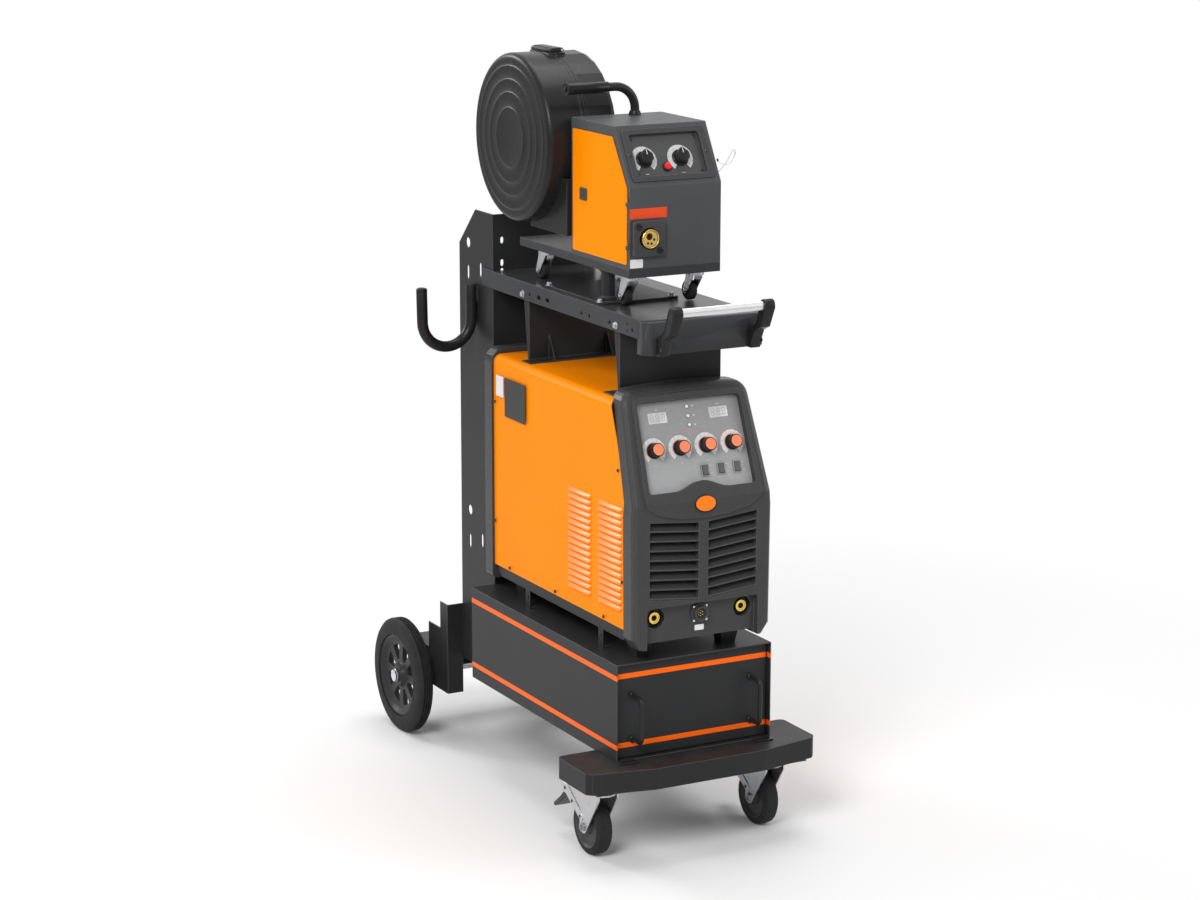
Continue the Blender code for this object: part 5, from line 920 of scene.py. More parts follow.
class WELDER_OT_push_handle(bpy.types.Operator):
    """Push handle: two moulded arms and the oval aluminium bar between them"""
    bl_idname = "welder.push_handle"
    bl_label = "Push handle"

    def execute(self, context):
        front, low = -0.4103, 1.0924
        outline = [(front - 0.018, low), (front - 0.022, low + 0.016), (front - 0.034, low + 0.04),
                   (front - 0.056, low + 0.05), (front - 0.0758, low + 0.092)]
        outline += arc((front - 0.063, low + 0.097), 0.0127, 155, 25, 8)
        outline += [(front - 0.034, low + 0.056), (front - 0.016, low + 0.044), (front, low + 0.036),
                    (front, low)]
        arm = bevel(plate(outline, "X", 0.0962, 0.1199), context.scene.welder_sizes.edge * 1.5, 3, 50)
        groove = [(y * 0.82 + (front - 0.042) * 0.18, z * 0.82 + (low + 0.046) * 0.18) for y, z in outline]
        cut(arm, plate(groove, "X", 0.1189, 0.123))
        span = arc((-0.473, 1.1884), 0.0098, 0, 180, 10)
        oval = [(-0.473 + (y + 0.473) * 0.7, z) for y,
                z in span + arc((-0.473, 1.1884), 0.0098, 180, 360, 10)[1:-1]]
        grip = plate(oval, "X", -0.0968, 0.0968)
        bolt = set_of(screw(0.0045, 0.0024), [facing("X", 1, (0.1188, -0.4315, 1.109))])
        arms = together([copy_of(arm, Matrix.Identity(4)), mirror(arm)])
        piece = put(arms, "handle_arms", "cart", "soft_plastic")
        grip = put(grip, "handle_bar", "cart", "aluminium")
        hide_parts("push_handle")
        put(together([mirror(bolt), bolt]), "handle_bolts", "cart", "black_steel")
        discard(arm)
        return {"FINISHED"}


class WELDER_OT_hose_hook(bpy.types.Operator):
    """Bent tube that carries the coiled hose, with its end cap and fixing plate"""
    bl_idname = "welder.hose_hook"
    bl_label = "Hose hook"

    def execute(self, context):
        y, near, radius = 0.4085, -0.1423, 0.061
        middle = near - radius
        path = [(near, y, 1.119), (near, y, 1.08)]
        path += [(a, y, b) for a, b in arc((middle, 1.041), radius, 0, -180, 24)]
        end = (middle - radius - 0.0012, y, 1.11)
        tube = bar(path + [end], 0.01245, 28)
        bevel(tube, 0.001, 2, 50)
        cap = turned([(0.0, 0.0), (0.0, 0.0125), (0.006, 0.0125), (0.0086, 0.0105), (0.0098, 0.0065),
                      (0.0102, 0.0)], steps=28)
        cap = moved(cap, shift_by(*end))
        piece = put(tube, "hook_tube", "cart", "soft_plastic")
        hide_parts("hose_hook")
        put(cap, "hook_cap", "cart", "soft_plastic")
        saddle = bevel(plate(oblong(y, 1.098, 0.0115, 0.019, 0.003), "X", -0.133, -0.13), 0.0006, 2)
        put(saddle, "hook_saddle", "cart", "black_powder")
        return {"FINISHED"}


class WELDER_OT_shelf(bpy.types.Operator):
    """Shelf with the row of holes in its side skirts"""
    bl_idname = "welder.shelf"
    bl_label = "Shelf"

    def execute(self, context):
        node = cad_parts["shelf"]
        shelf = bpy.data.objects.new("shelf", node.data.copy())
        context.scene.collection.objects.link(shelf)
        shelf.data.transform(Matrix.Translation(-SHIFT))
        only(shelf)
        edit()
        bpy.ops.mesh.remove_doubles(threshold=0.00001)
        leave()
        round_hole, slot = (0.0042, 0.0042), (0.0085, 0.0048)
        for y, z, (half_y, half_z) in ((0.134, 1.1362, round_hole), (0.09, 1.136, slot),
                                       (0.049, 1.136, slot),
                                       (-0.11, 1.1337, round_hole), (-0.145, 1.1336, round_hole),
                                       (-0.236, 1.1346, round_hole), (-0.312, 1.1442, (0.0026, 0.0026)),
                                       (-0.312, 1.1296, (0.0026, 0.0026)),
                                       (-0.334, 1.1344, (0.0034, 0.0052))):
            tool = plate(oblong(y, z, half_y, half_z, min(half_y, half_z) * 0.98, 5), "X", -0.15, 0.15)
            cut(shelf, tool)
        piece = put(shelf, "shelf_tray", "cart", "shelf_powder")
        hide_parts("shelf")
        return {"FINISHED"}


# ---------------------------------------------------------------- wire feeder
class WELDER_OT_carrying_handle(bpy.types.Operator):
    """Carrying handle: bent tube with a moulded grip, an end cap and its foot ring"""
    bl_idname = "welder.carrying_handle"
    bl_label = "Carrying handle"

    def execute(self, context):
        sizes = context.scene.welder_sizes
        y, z, bend = -0.0462, 1.602, 0.048
        path = [(-0.133, y, z), (-0.04, y, z)] + [(a, y, b) for a,
                                                  b in arc((-0.018, z - bend), bend, 90, 0, 12)]
        tube = bar(path + [(0.03, y, CASE_TOP + 0.001)], 0.0095, 24)
        piece = put(tube, "carrying_tube", "feeder", "satin_black")
        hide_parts("feeder_handle")
        radius = sizes.grip_radius
        profile = [(-0.1335, 0.008), (-0.1335, radius - 0.0006), (-0.1325, radius)]
        profile += [(-0.0365, radius), (-0.0352, radius - 0.0008), (-0.0352, 0.008)]
        grip = turned(profile, "X", (0, y, z), 32)
        put(grip, "carrying_grip", "feeder", "gloss_rubber")
        rim = turned([(-0.1332, 0.0), (-0.1332, 0.014), (-0.1342, 0.0148), (-0.1362, 0.0148),
                      (-0.1372, 0.0138),
                      (-0.1372, 0.0104), (-0.1358, 0.0096), (-0.1358, 0.0)], "X", (0, y, z), 32)
        knob = bevel(plate(arc((y, z), 0.0062, 0, 300, 5), "X", -0.1389, -0.136), 0.0005, 2)
        put(together([rim, knob]), "carrying_cap", "feeder", "soft_plastic")
        foot = turned([(CASE_TOP + 0.0004, 0.01), (CASE_TOP + 0.0004, 0.0134), (CASE_TOP + 0.003, 0.0134),
                       (CASE_TOP + 0.009, 0.0112), (CASE_TOP + 0.0098, 0.01)], "Z", (0.03, y, 0), 32)
        put(foot, "carrying_foot", "feeder", "soft_plastic")
        return {"FINISHED"}


class WELDER_OT_spool_cover(bpy.types.Operator):
    """Spool cover's lid with its stepped rings, the body behind the seam and the latch"""
    bl_idname = "welder.spool_cover"
    bl_label = "Spool cover"

    def execute(self, context):
        y, z = DRUM
        radius, face, seam, wall = 0.183, -0.158, -0.0655, 0.003
        outer = [(face - 0.0034, 0.0), (face - 0.0034, 0.064)]
        for edge, height in ((0.066, 0.0034), (0.099, 0.0026), (0.127, 0.0018), (0.156, 0.0009)):
            outer += [(face - height, edge - 0.002), (face - height - 0.0002, edge - 0.0008),
                      (face - height + 0.0004, edge + 0.0006), (face - height + 0.0008, edge + 0.0022)]
        outer += [(face, 0.1625), (face + 0.0002, radius - 0.013)]
        outer += [(face + 0.012 - 0.012 * math.cos(t), radius - 0.012 + 0.012 * math.sin(t))
                  for t in (0.25, 0.55, 0.85, 1.15, 1.4)]
        outer += [(face + 0.0125, radius), (seam - 0.012, radius), (seam - 0.011, radius - 0.001),
                  (seam - 0.0085, radius - 0.001), (seam - 0.0075, radius), (seam, radius)]
        inner = [(seam, radius - wall), (face + 0.013, radius - wall), (face + wall, radius - 0.013),
                 (face + wall, 0.0)]
        lid = turned(outer + inner, "X", (0, y, z), 96)
        pad = bevel(plate(oblong(-0.078, y, 0.0108, 0.047, 0.003), "Z", z + radius - 0.01,
                          z + radius + 0.0002), 0.001, 2)
        lugs = []
        for low in (-0.0306, 0.0106):
            lug = plate([(-0.0765, 0.35), (-0.066, 0.35), (-0.066, 0.353), (-0.0625, 0.354),
                         (-0.0612, 0.357),
                         (-0.063, 0.3605), (-0.0665, 0.3605), (-0.0765, 0.3545)], "Z", z + low,
                        z + low + 0.02)
            lugs.append(bevel(lug, 0.0008, 2))
        piece = put(together([lid, pad] + lugs), "spool_lid", "spool_lid", "drum_plastic")
        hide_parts("spool_cover_lid")
        lip = turned([(-0.0645, radius - 0.004), (-0.0645, radius), (-0.059, radius),
                      (-0.0575, radius - 0.0015),
                      (-0.0575, radius - 0.004)], "X", (0, y, z), 96)
        put(lip, "spool_base_lip", "feeder", "drum_plastic")
        seat = bevel(plate([(-0.0635, z + radius - 0.012), (-0.0635, z + radius), (-0.057, z + radius),
                            (-0.012, z + radius - 0.0195), (-0.012, z + radius - 0.03)], "Y", y - 0.006,
                           y + 0.006), 0.001, 2)
        ears = [copy_of(seat, shift_by(0, offset, 0)) for offset in (-0.038, 0.038)]
        put(together(ears + [seat]), "latch_ears", "feeder", "drum_plastic")
        top = z + radius + 0.0006
        slab = plate([(-0.0865, top), (-0.0865, top + 0.006), (-0.079, top + 0.0098),
                      (-0.062, top + 0.0102),
                      (-0.056, top + 0.0102), (-0.0525, top + 0.0085), (-0.051, top + 0.0052),
                      (-0.0522, top + 0.0018),
                      (-0.056, top)], "Y", y - 0.0445, y + 0.0445)
        bevel(slab, 0.0009, 2, 30)
        for x in (-0.08, -0.0745, -0.069):
            cut(slab, plate(oblong(x, y, 0.0014, 0.04, 0.0012, 3), "Z", top + 0.0068, top + 0.02))
        piece = put(slab, "latch_slab", "spool_latch", "drum_plastic")
        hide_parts("spool_cover_latch")
        pin = turned([(y - 0.0449, 0.0), (y - 0.0449, 0.0028), (y + 0.0449, 0.0028), (y + 0.0449, 0.0)],
                     "Y",
                     (-0.056, 0, top + 0.0052), 20)
        put(pin, "latch_pin", "spool_latch", "bright_steel")
        return {"FINISHED"}


class WELDER_OT_wire_reel(bpy.types.Operator):
    """Reel inside the spool cover: ribbed flanges and the wire wound between them"""
    bl_idname = "welder.wire_reel"
    bl_label = "Wire reel"

    def execute(self, context):
        middle, half, hole, radius = -0.077, 0.0514, 0.0256, 0.1496
        side = [(half, hole), (half, 0.042), (half - 0.002, 0.044), (half - 0.002, 0.09),
                (half - 0.0005, 0.0915),
                (half - 0.0005, 0.0955), (half - 0.002, 0.097), (half - 0.002, 0.138), (half, 0.14),
                (half, radius - 0.001), (half - 0.001, radius), (half - 0.005, radius),
                (half - 0.006, radius - 0.001), (half - 0.006, 0.052)]
        piece = put(turned(both_sides(side, middle), "X", (0, *DRUM), 96), "reel_flanges", "spool", "rim")
        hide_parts("wire_spool")
        coil = [(-half + 0.0062, 0.0525), (-half + 0.0062, 0.1315), (half - 0.0062, 0.1315),
                (half - 0.0062, 0.0525)]
        wound = turned([(middle + a, r) for a, r in coil], "X", (0, *DRUM), 96)
        put(wound, "reel_wire", "spool", "wire")
        return {"FINISHED"}


def printed(outline, floor):
    """Thin field of ink on a control sheet."""
    return plate(outline, "Z", floor + 0.0001, floor + 0.0004)


def on_source(piece, name, surface, slot=None, body="cart"):
    """Finish a piece that is drawn on the power source's control sheet."""
    return put(piece, name, body, surface, slot, frame_matrix=CONTROLS)


def on_feeder(piece, name, surface, slot=None, body="feeder"):
    """Finish a piece that is drawn on the feeder's sloping front."""
    return put(piece, name, body, surface, slot, frame_matrix=FEEDER_FRONT)


def scale_ring(x, up, floor, outer, inner, tick_count, numerals=True):
    """White dial ring, open at the bottom, with dark ticks and plain numbers."""
    outline = arc((x, up), outer, 232, -52, 40) + arc((x, up), inner, -52, 232, 40)
    ring = printed(outline, floor)
    marks = []
    for index in range(tick_count):
        turn = math.radians(222 - 264 * index / (tick_count - 1))
        tick = plate(oblong(0, 0, 0.0012, 0.00028, 0.0001, 1), "Z", floor + 0.0003, floor + 0.0006)
        place = Matrix.Translation((x + (outer - 0.0016) * math.cos(turn),
                                    up + (outer - 0.0016) * math.sin(turn), 0))
        marks.append(moved(tick, place @ Matrix.Rotation(turn, 4, "Z")))
        if numerals and index % 2 == 0:
            middle = (outer + inner) / 2 - 0.0006
            marks.append(number(str(index), 0.0032, (x + middle * math.cos(turn),
                                                     up + middle * math.sin(turn)), floor))
    return ring, together(marks)


def number(text, size, place, floor):
    """Plain printed number, made a mesh."""
    deselect()
    bpy.ops.object.text_add(location=(0, 0, 0))
    label = bpy.context.object
    label.data.body = text
    label.data.size = size
    label.data.align_x = "CENTER"
    label.data.align_y = "CENTER"
    label.data.extrude = 0.0001
    label.data.resolution_u = 2
    bpy.ops.object.convert(target="MESH")
    label = bpy.context.object
    edit()
    bpy.ops.mesh.remove_doubles(threshold=0.000001)
    leave()
    label.data.transform(Matrix.Translation((place[0], place[1], floor + 0.0004)))
    return label


def toothed(radius, depth, count):
    """Outline with a count of shallow ribs."""
    outline = []
    for index in range(count):
        for step, reach in ((0.0, radius), (0.45, radius), (0.55, radius - depth), (0.95, radius - depth)):
            turn = 2 * math.pi * (index + step) / count
            outline.append((reach * math.cos(turn), reach * math.sin(turn)))
    return outline


# ---------------------------------------------------------------- power source
class WELDER_OT_source_displays(bpy.types.Operator):
    """Displays and lamps on the power source's control sheet"""
    bl_idname = "welder.source_displays"
    bl_label = "Source displays"

    def execute(self, context):
        floor = PANEL_FLOOR
        for name, x in (("left", -0.073), ("right", 0.0728)):
            window = bevel(plate(oblong(x, 0.1805, 0.022, 0.0115, 0.0008), "Z", floor - 0.001,
                                 floor + 0.0009), 0.0004, 2)
            on_source(window, f"display_{name}", "display")
            strokes = []
            for digit in (-1, 0, 1):
                middle = x + digit * 0.0135
                for across_x, up, half_x, half_y in ((0, 0.0068, 0.0026, 0.0007), (0, 0, 0.0026, 0.0007),
                                                     (0, -0.0068, 0.0026, 0.0007),
                                                     (-0.0036, 0.0034, 0.0007, 0.0026),
                                                     (0.0036, 0.0034, 0.0007, 0.0026),
                                                     (-0.0036, -0.0034, 0.0007, 0.0026),
                                                     (0.0036, -0.0034, 0.0007, 0.0026),
                                                     (0.006, -0.0068, 0.0008, 0.0008)):
                    stroke = oblong(middle + across_x, 0.1805 + up, half_x, half_y,
                                    min(half_x, half_y) * 0.8, 2)
                    strokes.append(plate(stroke, "Z", floor + 0.0008, floor + 0.0011))
            on_source(together(strokes), f"segments_{name}", "segment")
            on_source(printed(arc((x, 0.1975), 0.0014, 0, 330, 11), floor), f"unit_dot_{name}",
                      "white_print")
        lamp = turned([(0.0, 0.0), (0.0, 0.0042), (0.0008, 0.0042), (0.0018, 0.0032), (0.0022, 0.0016),
                       (0.0023, 0.0)],
                      "Z", (0, 0, floor + 0.0001), 28)
        rim = turned([(0.0, 0.0043), (0.0, 0.005), (0.0006, 0.005), (0.001, 0.0046), (0.001, 0.0043)],
                     "Z", (0, 0, floor + 0.0001), 28)
        places = [shift_by(0.0, up, 0) for up in PANEL_LAMPS]
        on_source(set_of(lamp, places), "lamps", "lens")
        on_source(set_of(rim, places), "lamp_rims", "grey_hub", "grey_plate")
        marks = [printed(oblong(0.0135, up, 0.0022, 0.0012, 0.0004, 2), floor)
                 for up in PANEL_LAMPS]
        on_source(together(marks), "lamp_marks", "white_print")
        return {"FINISHED"}


class WELDER_OT_source_knobs(bpy.types.Operator):
    """Ribbed knobs of the power source on their dials, with the fine arcs round them"""
    bl_idname = "welder.source_knobs"
    bl_label = "Source knobs"

    def execute(self, context):
        sizes = context.scene.welder_sizes
        floor = PANEL_FLOOR
        knob = plate(toothed(0.0146, 0.0008, sizes.knob_ribs), "Z", 0.0042, 0.0208)
        bevel(knob, 0.0003, 1, 30)
        skirt = turned([(0.0004, 0.0), (0.0004, 0.0164), (0.003, 0.0164), (0.0044, 0.015),
                        (0.0044, 0.0)], steps=40)
        ring = turned([(0.0205, 0.0118), (0.0205, 0.0145), (0.0216, 0.0142), (0.022, 0.013),
                       (0.0214, 0.0118)], steps=40)
        knob = together([knob, skirt, ring])
        cap = turned([(0.019, 0.0), (0.019, 0.0124), (0.0218, 0.0124), (0.0226, 0.0116),
                      (0.0229, 0.006), (0.023, 0.0)], steps=40)
        pointer = bevel(plate(oblong(0, 0.015, 0.0008, 0.0016, 0.0003, 2), "Z", 0.002, 0.005), 0.0002, 1)
        for index, x in enumerate(KNOB_X, 1):
            place = shift_by(x, KNOB_UP, floor)
            body = f"source_knob_{index}"
            piece = on_source(copy_of(knob, place), f"ribbed_knob_{index}", "soft_plastic", body=body)
            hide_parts(f"source_knob_{index}")
            on_source(copy_of(cap, place), f"knob_cap_{index}", "salmon", body=body)
            on_source(copy_of(pointer, place), f"knob_pointer_{index}", "salmon", body=body)
            ring, marks = scale_ring(x, KNOB_UP, floor, 0.0275, 0.0185, 11)
            on_source(ring, f"dial_{index}", "white_plate")
            on_source(marks, f"dial_marks_{index}", "dark_print")
            inner = arc((x, KNOB_UP), 0.0186, 225, 60, 20) + arc((x, KNOB_UP), 0.0174, 60, 225, 20)
            on_source(plate(inner, "Z", floor + 0.0001, floor + 0.0005), f"dial_sweep_{index}", "salmon")
            symbol = arc((x - 0.001, KNOB_UP - 0.0335), 0.003, 170, 10,
                         6) + arc((x - 0.001, KNOB_UP - 0.0335), 0.0022, 10, 170, 6)
            on_source(printed(symbol, floor), f"dial_symbol_{index}", "white_print")
        discard(knob, cap, pointer)
        sweep = arc((KNOB_X[3], KNOB_UP), 0.0318, 148, 96,
                    10) + arc((KNOB_X[3], KNOB_UP), 0.0311, 96, 148, 10)
        other = arc((KNOB_X[3], KNOB_UP), 0.0318, 84, 32,
                    10) + arc((KNOB_X[3], KNOB_UP), 0.0311, 32, 84, 10)
        dot = printed(arc((KNOB_X[3], KNOB_UP + 0.0318), 0.0012, 0, 330, 11), floor)
        arcs = [printed(outline, floor) for outline in (sweep, other)]
        arcs.append(printed(arc((0.0, 0.1495), 0.0012, 0, 330, 11), floor))
        arcs.append(printed(oblong(0.0, 0.1462, 0.034, 0.00025, 0.0002, 1), floor))
        on_source(together(arcs + [dot]), "print_arcs", "salmon")
        return {"FINISHED"}


class WELDER_OT_source_switches(bpy.types.Operator):
    """Frames and marks of the power source's rocker switches"""
    bl_idname = "welder.source_switches"
    bl_label = "Source switches"

    def execute(self, context):
        floor = PANEL_FLOOR
        for index, x in enumerate(SWITCH_X, 1):
            frame_ring = plate(oblong(x, SWITCH_UP, 0.0096, 0.0136, 0.0022, 4), "Z", floor + 0.0001,
                               floor + 0.0014)
            hole = plate(oblong(x, SWITCH_UP, 0.0076, 0.0116, 0.0012, 3), "Z", floor - 0.002, floor + 0.004)
            cut(frame_ring, hole)
            on_source(bevel(frame_ring, 0.0003, 2), f"switch_frame_{index}", "soft_plastic")
            marks = [printed(oblong(x + 0.0148, SWITCH_UP + up, 0.0024, 0.0005, 0.0004, 2), floor)
                     for up in (-0.0075, 0.0085)]
            on_source(together(marks), f"switch_marks_{index}", "white_print")
        return {"FINISHED"}


class WELDER_OT_source_front(bpy.types.Operator):
    """Plain oval badge, brass sockets and the round connector on the power source's front"""
    bl_idname = "welder.source_front"
    bl_label = "Source front"

    def execute(self, context):
        half_x, half_z = 0.0235, 0.016
        oval = [(math.cos(2 * math.pi * step / 48),
                 math.sin(2 * math.pi * step / 48)) for step in range(48)]
        rim = plate([(a * (half_x + 0.0024), b * (half_z + 0.0024)) for a, b in oval], "Z", -0.008, 0.0012)
        field = bevel(plate([(a * half_x, b * half_z) for a, b in oval], "Z", 0.0006, 0.002), 0.0007, 3, 30)
        stand = Matrix.Translation((0, -0.4146, 0.77)) @ Matrix.Rotation(math.radians(80), 4, "X")
        put(bevel(rim, 0.0006, 2, 30), "badge_rim", "cart", "soft_plastic", frame_matrix=stand)
        put(field, "badge_field", "cart", "orange_plate", frame_matrix=stand)
        for x, name in ((-0.105, "left"), (0.105, "right")):
            front = -0.385
            sleeve = turned([(front - 0.0003, 0.0096), (front - 0.0012, 0.0102),
                             (front - 0.0012, 0.0124), (front + 0.0005, 0.0134),
                             (front + 0.011, 0.0134), (front + 0.011, 0.0096)], "Y",
                            (x, 0, CONNECTOR_Z), 40)
            put(sleeve, f"socket_sleeve_{name}", "cart", "brass")
            flange = turned([(front + 0.0102, 0.0136), (front + 0.0085, 0.015), (front + 0.008, 0.02),
                             (front + 0.0092, 0.0212),
                             (front + 0.013, 0.0212), (front + 0.013, 0.0136)], "Y",
                            (x, 0, CONNECTOR_Z), 40)
            put(flange, f"socket_flange_{name}", "cart", "soft_plastic")
        wall = -0.391
        pins = turned([(0.0, 0.0), (0.0, 0.0013), (0.003, 0.0013), (0.0036, 0.0008), (0.0038, 0.0)],
                      steps=14)
        spots = [(0.0, 0.0)] + [(0.0058 * math.cos(math.radians(turn)),
                                 0.0058 * math.sin(math.radians(turn)))
                                for turn in range(30, 390, 60)]
        pins = set_of(pins, [facing("Y", -1, (a, wall - 0.004, CONNECTOR_Z + b)) for a, b in spots])
        put(pins, "connector_pins", "cart", "brass")
        collar = turned([(wall - 0.0126, 0.0124), (wall - 0.0132, 0.013), (wall - 0.0132, 0.015),
                         (wall - 0.012, 0.0158),
                         (wall - 0.008, 0.0158), (wall - 0.008, 0.0124)], "Y", (0, 0, CONNECTOR_Z), 40)
        put(collar, "connector_collar", "cart", "grey_hub")
        corner = [facing("Y", -1, (a, wall - 0.0049,
                                   CONNECTOR_Z + b)) for a in (-0.015, 0.015) for b in (-0.015, 0.015)]
        put(set_of(screw(0.0026, 0.0014), corner), "connector_screws", "cart", "bright_steel")
        card = bevel(plate(oblong(0.0, 0.4965, 0.011, 0.006, 0.0012), "Y", wall - 0.0012,
                           wall - 0.0004), 0.0002, 1)
        put(card, "connector_plate", "cart", "white_plate")
        return {"FINISHED"}


# ---------------------------------------------------------------- wire feeder's front
class WELDER_OT_feeder_front(bpy.types.Operator):
    """Feeder's sloping front: pointer knobs on their dials, button and screws"""
    bl_idname = "welder.feeder_front"
    bl_label = "Feeder front"

    def execute(self, context):
        floor = TRAY_FLOOR
        sheet = plate(oblong(0.0, 0.069, 0.0815, 0.0455, 0.005), "Z", floor + 0.0001, floor + 0.0008)
        hole = plate(arc(FEEDER_BUTTON, 0.0074, 0, 345, 23), "Z", floor - 0.001, floor + 0.003)
        cut(sheet, hole)
        for x, up in FEEDER_KNOBS:
            tool = plate(arc((x, up), 0.016, 0, 345, 23), "Z", floor - 0.001, floor + 0.003)
            cut(sheet, tool)
        on_feeder(sheet, "feeder_sheet", "feeder_sheet")
        floor += 0.0007
        skirt = turned([(0.0009, 0.0), (0.0009, 0.0182), (0.0034, 0.0182), (0.005, 0.0164),
                        (0.005, 0.0)], steps=40)
        body = arc((0, 0), 0.0152, 112.5, 427.5, 7) + [(0.0034, 0.017), (-0.0034, 0.017)]
        body = bevel(plate(body, "Z", 0.0044, 0.02), 0.0016, 3, 30)
        line = plate(oblong(0.0, 0.0098, 0.0008, 0.0056, 0.0004, 2), "Z", 0.0198, 0.0203)
        for index, (x, up) in enumerate(FEEDER_KNOBS, 1):
            place = shift_by(x, up, floor - 0.0007)
            piece = on_feeder(together([copy_of(skirt, place), copy_of(body, place)]),
                              f"pointer_knob_{index}", "soft_plastic", body=f"feeder_knob_{index}")
            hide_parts(f"feeder_knob_{index}")
            on_feeder(copy_of(line, place), f"pointer_line_{index}", "white_print",
                      body=f"feeder_knob_{index}")
            ring, marks = scale_ring(x, up, floor, 0.0296, 0.019, 11)
            on_feeder(ring, f"feeder_dial_{index}", "pale_plate")
            on_feeder(marks, f"feeder_dial_marks_{index}", "dark_print")
            symbol = printed(oblong(x, up - 0.0325, 0.0042, 0.0006, 0.0004, 2), floor)
            on_feeder(symbol, f"feeder_symbol_{index}", "white_print")
        discard(skirt, body, line)
        button = turned([(floor + 0.003, 0.0), (floor + 0.003, 0.0078), (floor + 0.0058, 0.0078),
                         (floor + 0.007, 0.0073),
                         (floor + 0.0079, 0.0056), (floor + 0.0083, 0.0028), (floor + 0.0084, 0.0)],
                        "Z", (*FEEDER_BUTTON, 0), 36)
        piece = on_feeder(button, "button_cap", "red_plastic", body="feeder_button")
        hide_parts("feeder_button")
        ring = turned([(floor - 0.0004, 0.008), (floor - 0.0004, 0.0102), (floor + 0.003, 0.0102),
                       (floor + 0.0038, 0.0094),
                       (floor + 0.0038, 0.008)], "Z", (*FEEDER_BUTTON, 0), 36)
        on_feeder(ring, "button_ring", "soft_plastic")
        corners = [shift_by(x, up, floor) for x in (-0.074, 0.074) for up in (0.031, 0.107)]
        on_feeder(set_of(screw(0.003, 0.0016), corners), "tray_screws", "black_steel")
        sides = [shift_by(x, 0.069, 0.0035) for x in (-0.0912, 0.0912)]
        on_feeder(set_of(screw(0.0038, 0.0018), sides), "frame_screws", "black_steel")
        return {"FINISHED"}


class WELDER_OT_torch_socket(bpy.types.Operator):
    """Torch socket, bare plates and wire keeper on the feeder's upright front and side"""
    bl_idname = "welder.torch_socket"
    bl_label = "Torch socket"

    def execute(self, context):
        x, z = EURO
        front, face = -0.2883, FEEDER_FACE
        barrel = turned([(-0.282, 0.0199), (-0.2944, 0.0199), (-0.295, 0.0193), (-0.295, 0.018),
                         (-0.2944, 0.0174),
                         (-0.2932, 0.0171), (-0.2932, 0.0), (-0.2905, 0.0), (-0.2905, 0.019),
                         (-0.282, 0.019)][::-1],
                        "Y", (x, 0, z), 56)
        for across_x, up, radius in ((*TORCH_BORE, 0.0074), *((*pin, 0.0029) for pin in TORCH_PINS)):
            tool = plate(arc((x + across_x, z + up), radius, 0, 345, 23), "Y", -0.298, -0.29)
            cut(barrel, tool)
        put(bevel(barrel, 0.0002, 1, 50), "torch_barrel", "feeder", "brass")
        bush = turned([(-0.2908, 0.0028), (-0.2908, 0.0072), (-0.2924, 0.0072), (-0.293, 0.0062),
                       (-0.2918, 0.0028)][::-1],
                      "Y", (x + TORCH_BORE[0], 0, z + TORCH_BORE[1]), 32)
        put(bush, "torch_bush", "feeder", "bore")
        liner = []
        for across_x, up in TORCH_PINS:
            liner.append(turned([(-0.2909, 0.0012), (-0.2909, 0.0028), (-0.2926, 0.0028),
                                 (-0.2926, 0.0018)][::-1], "Y",
                                (x + across_x, 0, z + up), 18))
        put(together(liner), "torch_pins", "feeder", "grey_hub")
        flange = bevel(plate(oblong(x, z, 0.0376, 0.0376, 0.006), "Y", front - 0.0006, face - 0.001),
                       0.0012, 3, 50)
        cut(flange, plate(arc((x, z), 0.0233, 0, 354, 59), "Y", front - 0.004, face + 0.004))
        put(flange, "torch_flange", "feeder", "black_plastic")
        bolts = [facing("Y", -1, (x + a, front - 0.0006, z + b)) for a,
                 b in ((-0.025, 0.026), (0.025, -0.026))]
        head = turned([(0.0, 0.0), (0.0, 0.0068), (0.0012, 0.0072), (0.003, 0.0066), (0.0038, 0.0048),
                       (0.0034, 0.003),
                       (0.0018, 0.0026), (0.0018, 0.0)], steps=28)
        put(set_of(head, bolts), "torch_bolts", "feeder", "soft_plastic", "zinc")
        red = bevel(plate(oblong(-0.064, 1.365, 0.0435, 0.0107, 0.0012), "Y", face - 0.0006,
                          face - 0.0001), 0.0002, 1)
        put(red, "red_plate", "feeder", "red_plate")
        white = bevel(plate(oblong(-0.0918, 1.2612, 0.0152, 0.0092, 0.0014), "Y", face - 0.0006,
                            face - 0.0001), 0.0002, 1)
        put(white, "white_plate", "feeder", "white_plate")
        side = CASE_X - 0.0005
        path = [(side, -0.262, 1.463), (side + 0.012, -0.2625, 1.455), (side + 0.024, -0.263, 1.4525),
                (side + 0.033, -0.2635, 1.4575), (side + 0.0395, -0.264, 1.467),
                (side + 0.0425, -0.264, 1.477),
                (side + 0.04, -0.264, 1.4835), (side + 0.036, -0.2635, 1.481),
                (side + 0.032, -0.262, 1.473),
                (side + 0.024, -0.261, 1.458), (side + 0.012, -0.26, 1.444), (side, -0.259, 1.434)]
        put(bar(path, 0.0011, 10), "wire_keeper", "feeder", "bright_steel")
        seats = [facing("X", 1, (CASE_X, y, z)) for y, z in ((-0.262, 1.463), (-0.259, 1.434))]
        put(set_of(screw(0.0034, 0.0022), seats), "keeper_screws", "feeder", "black_steel")
        return {"FINISHED"}


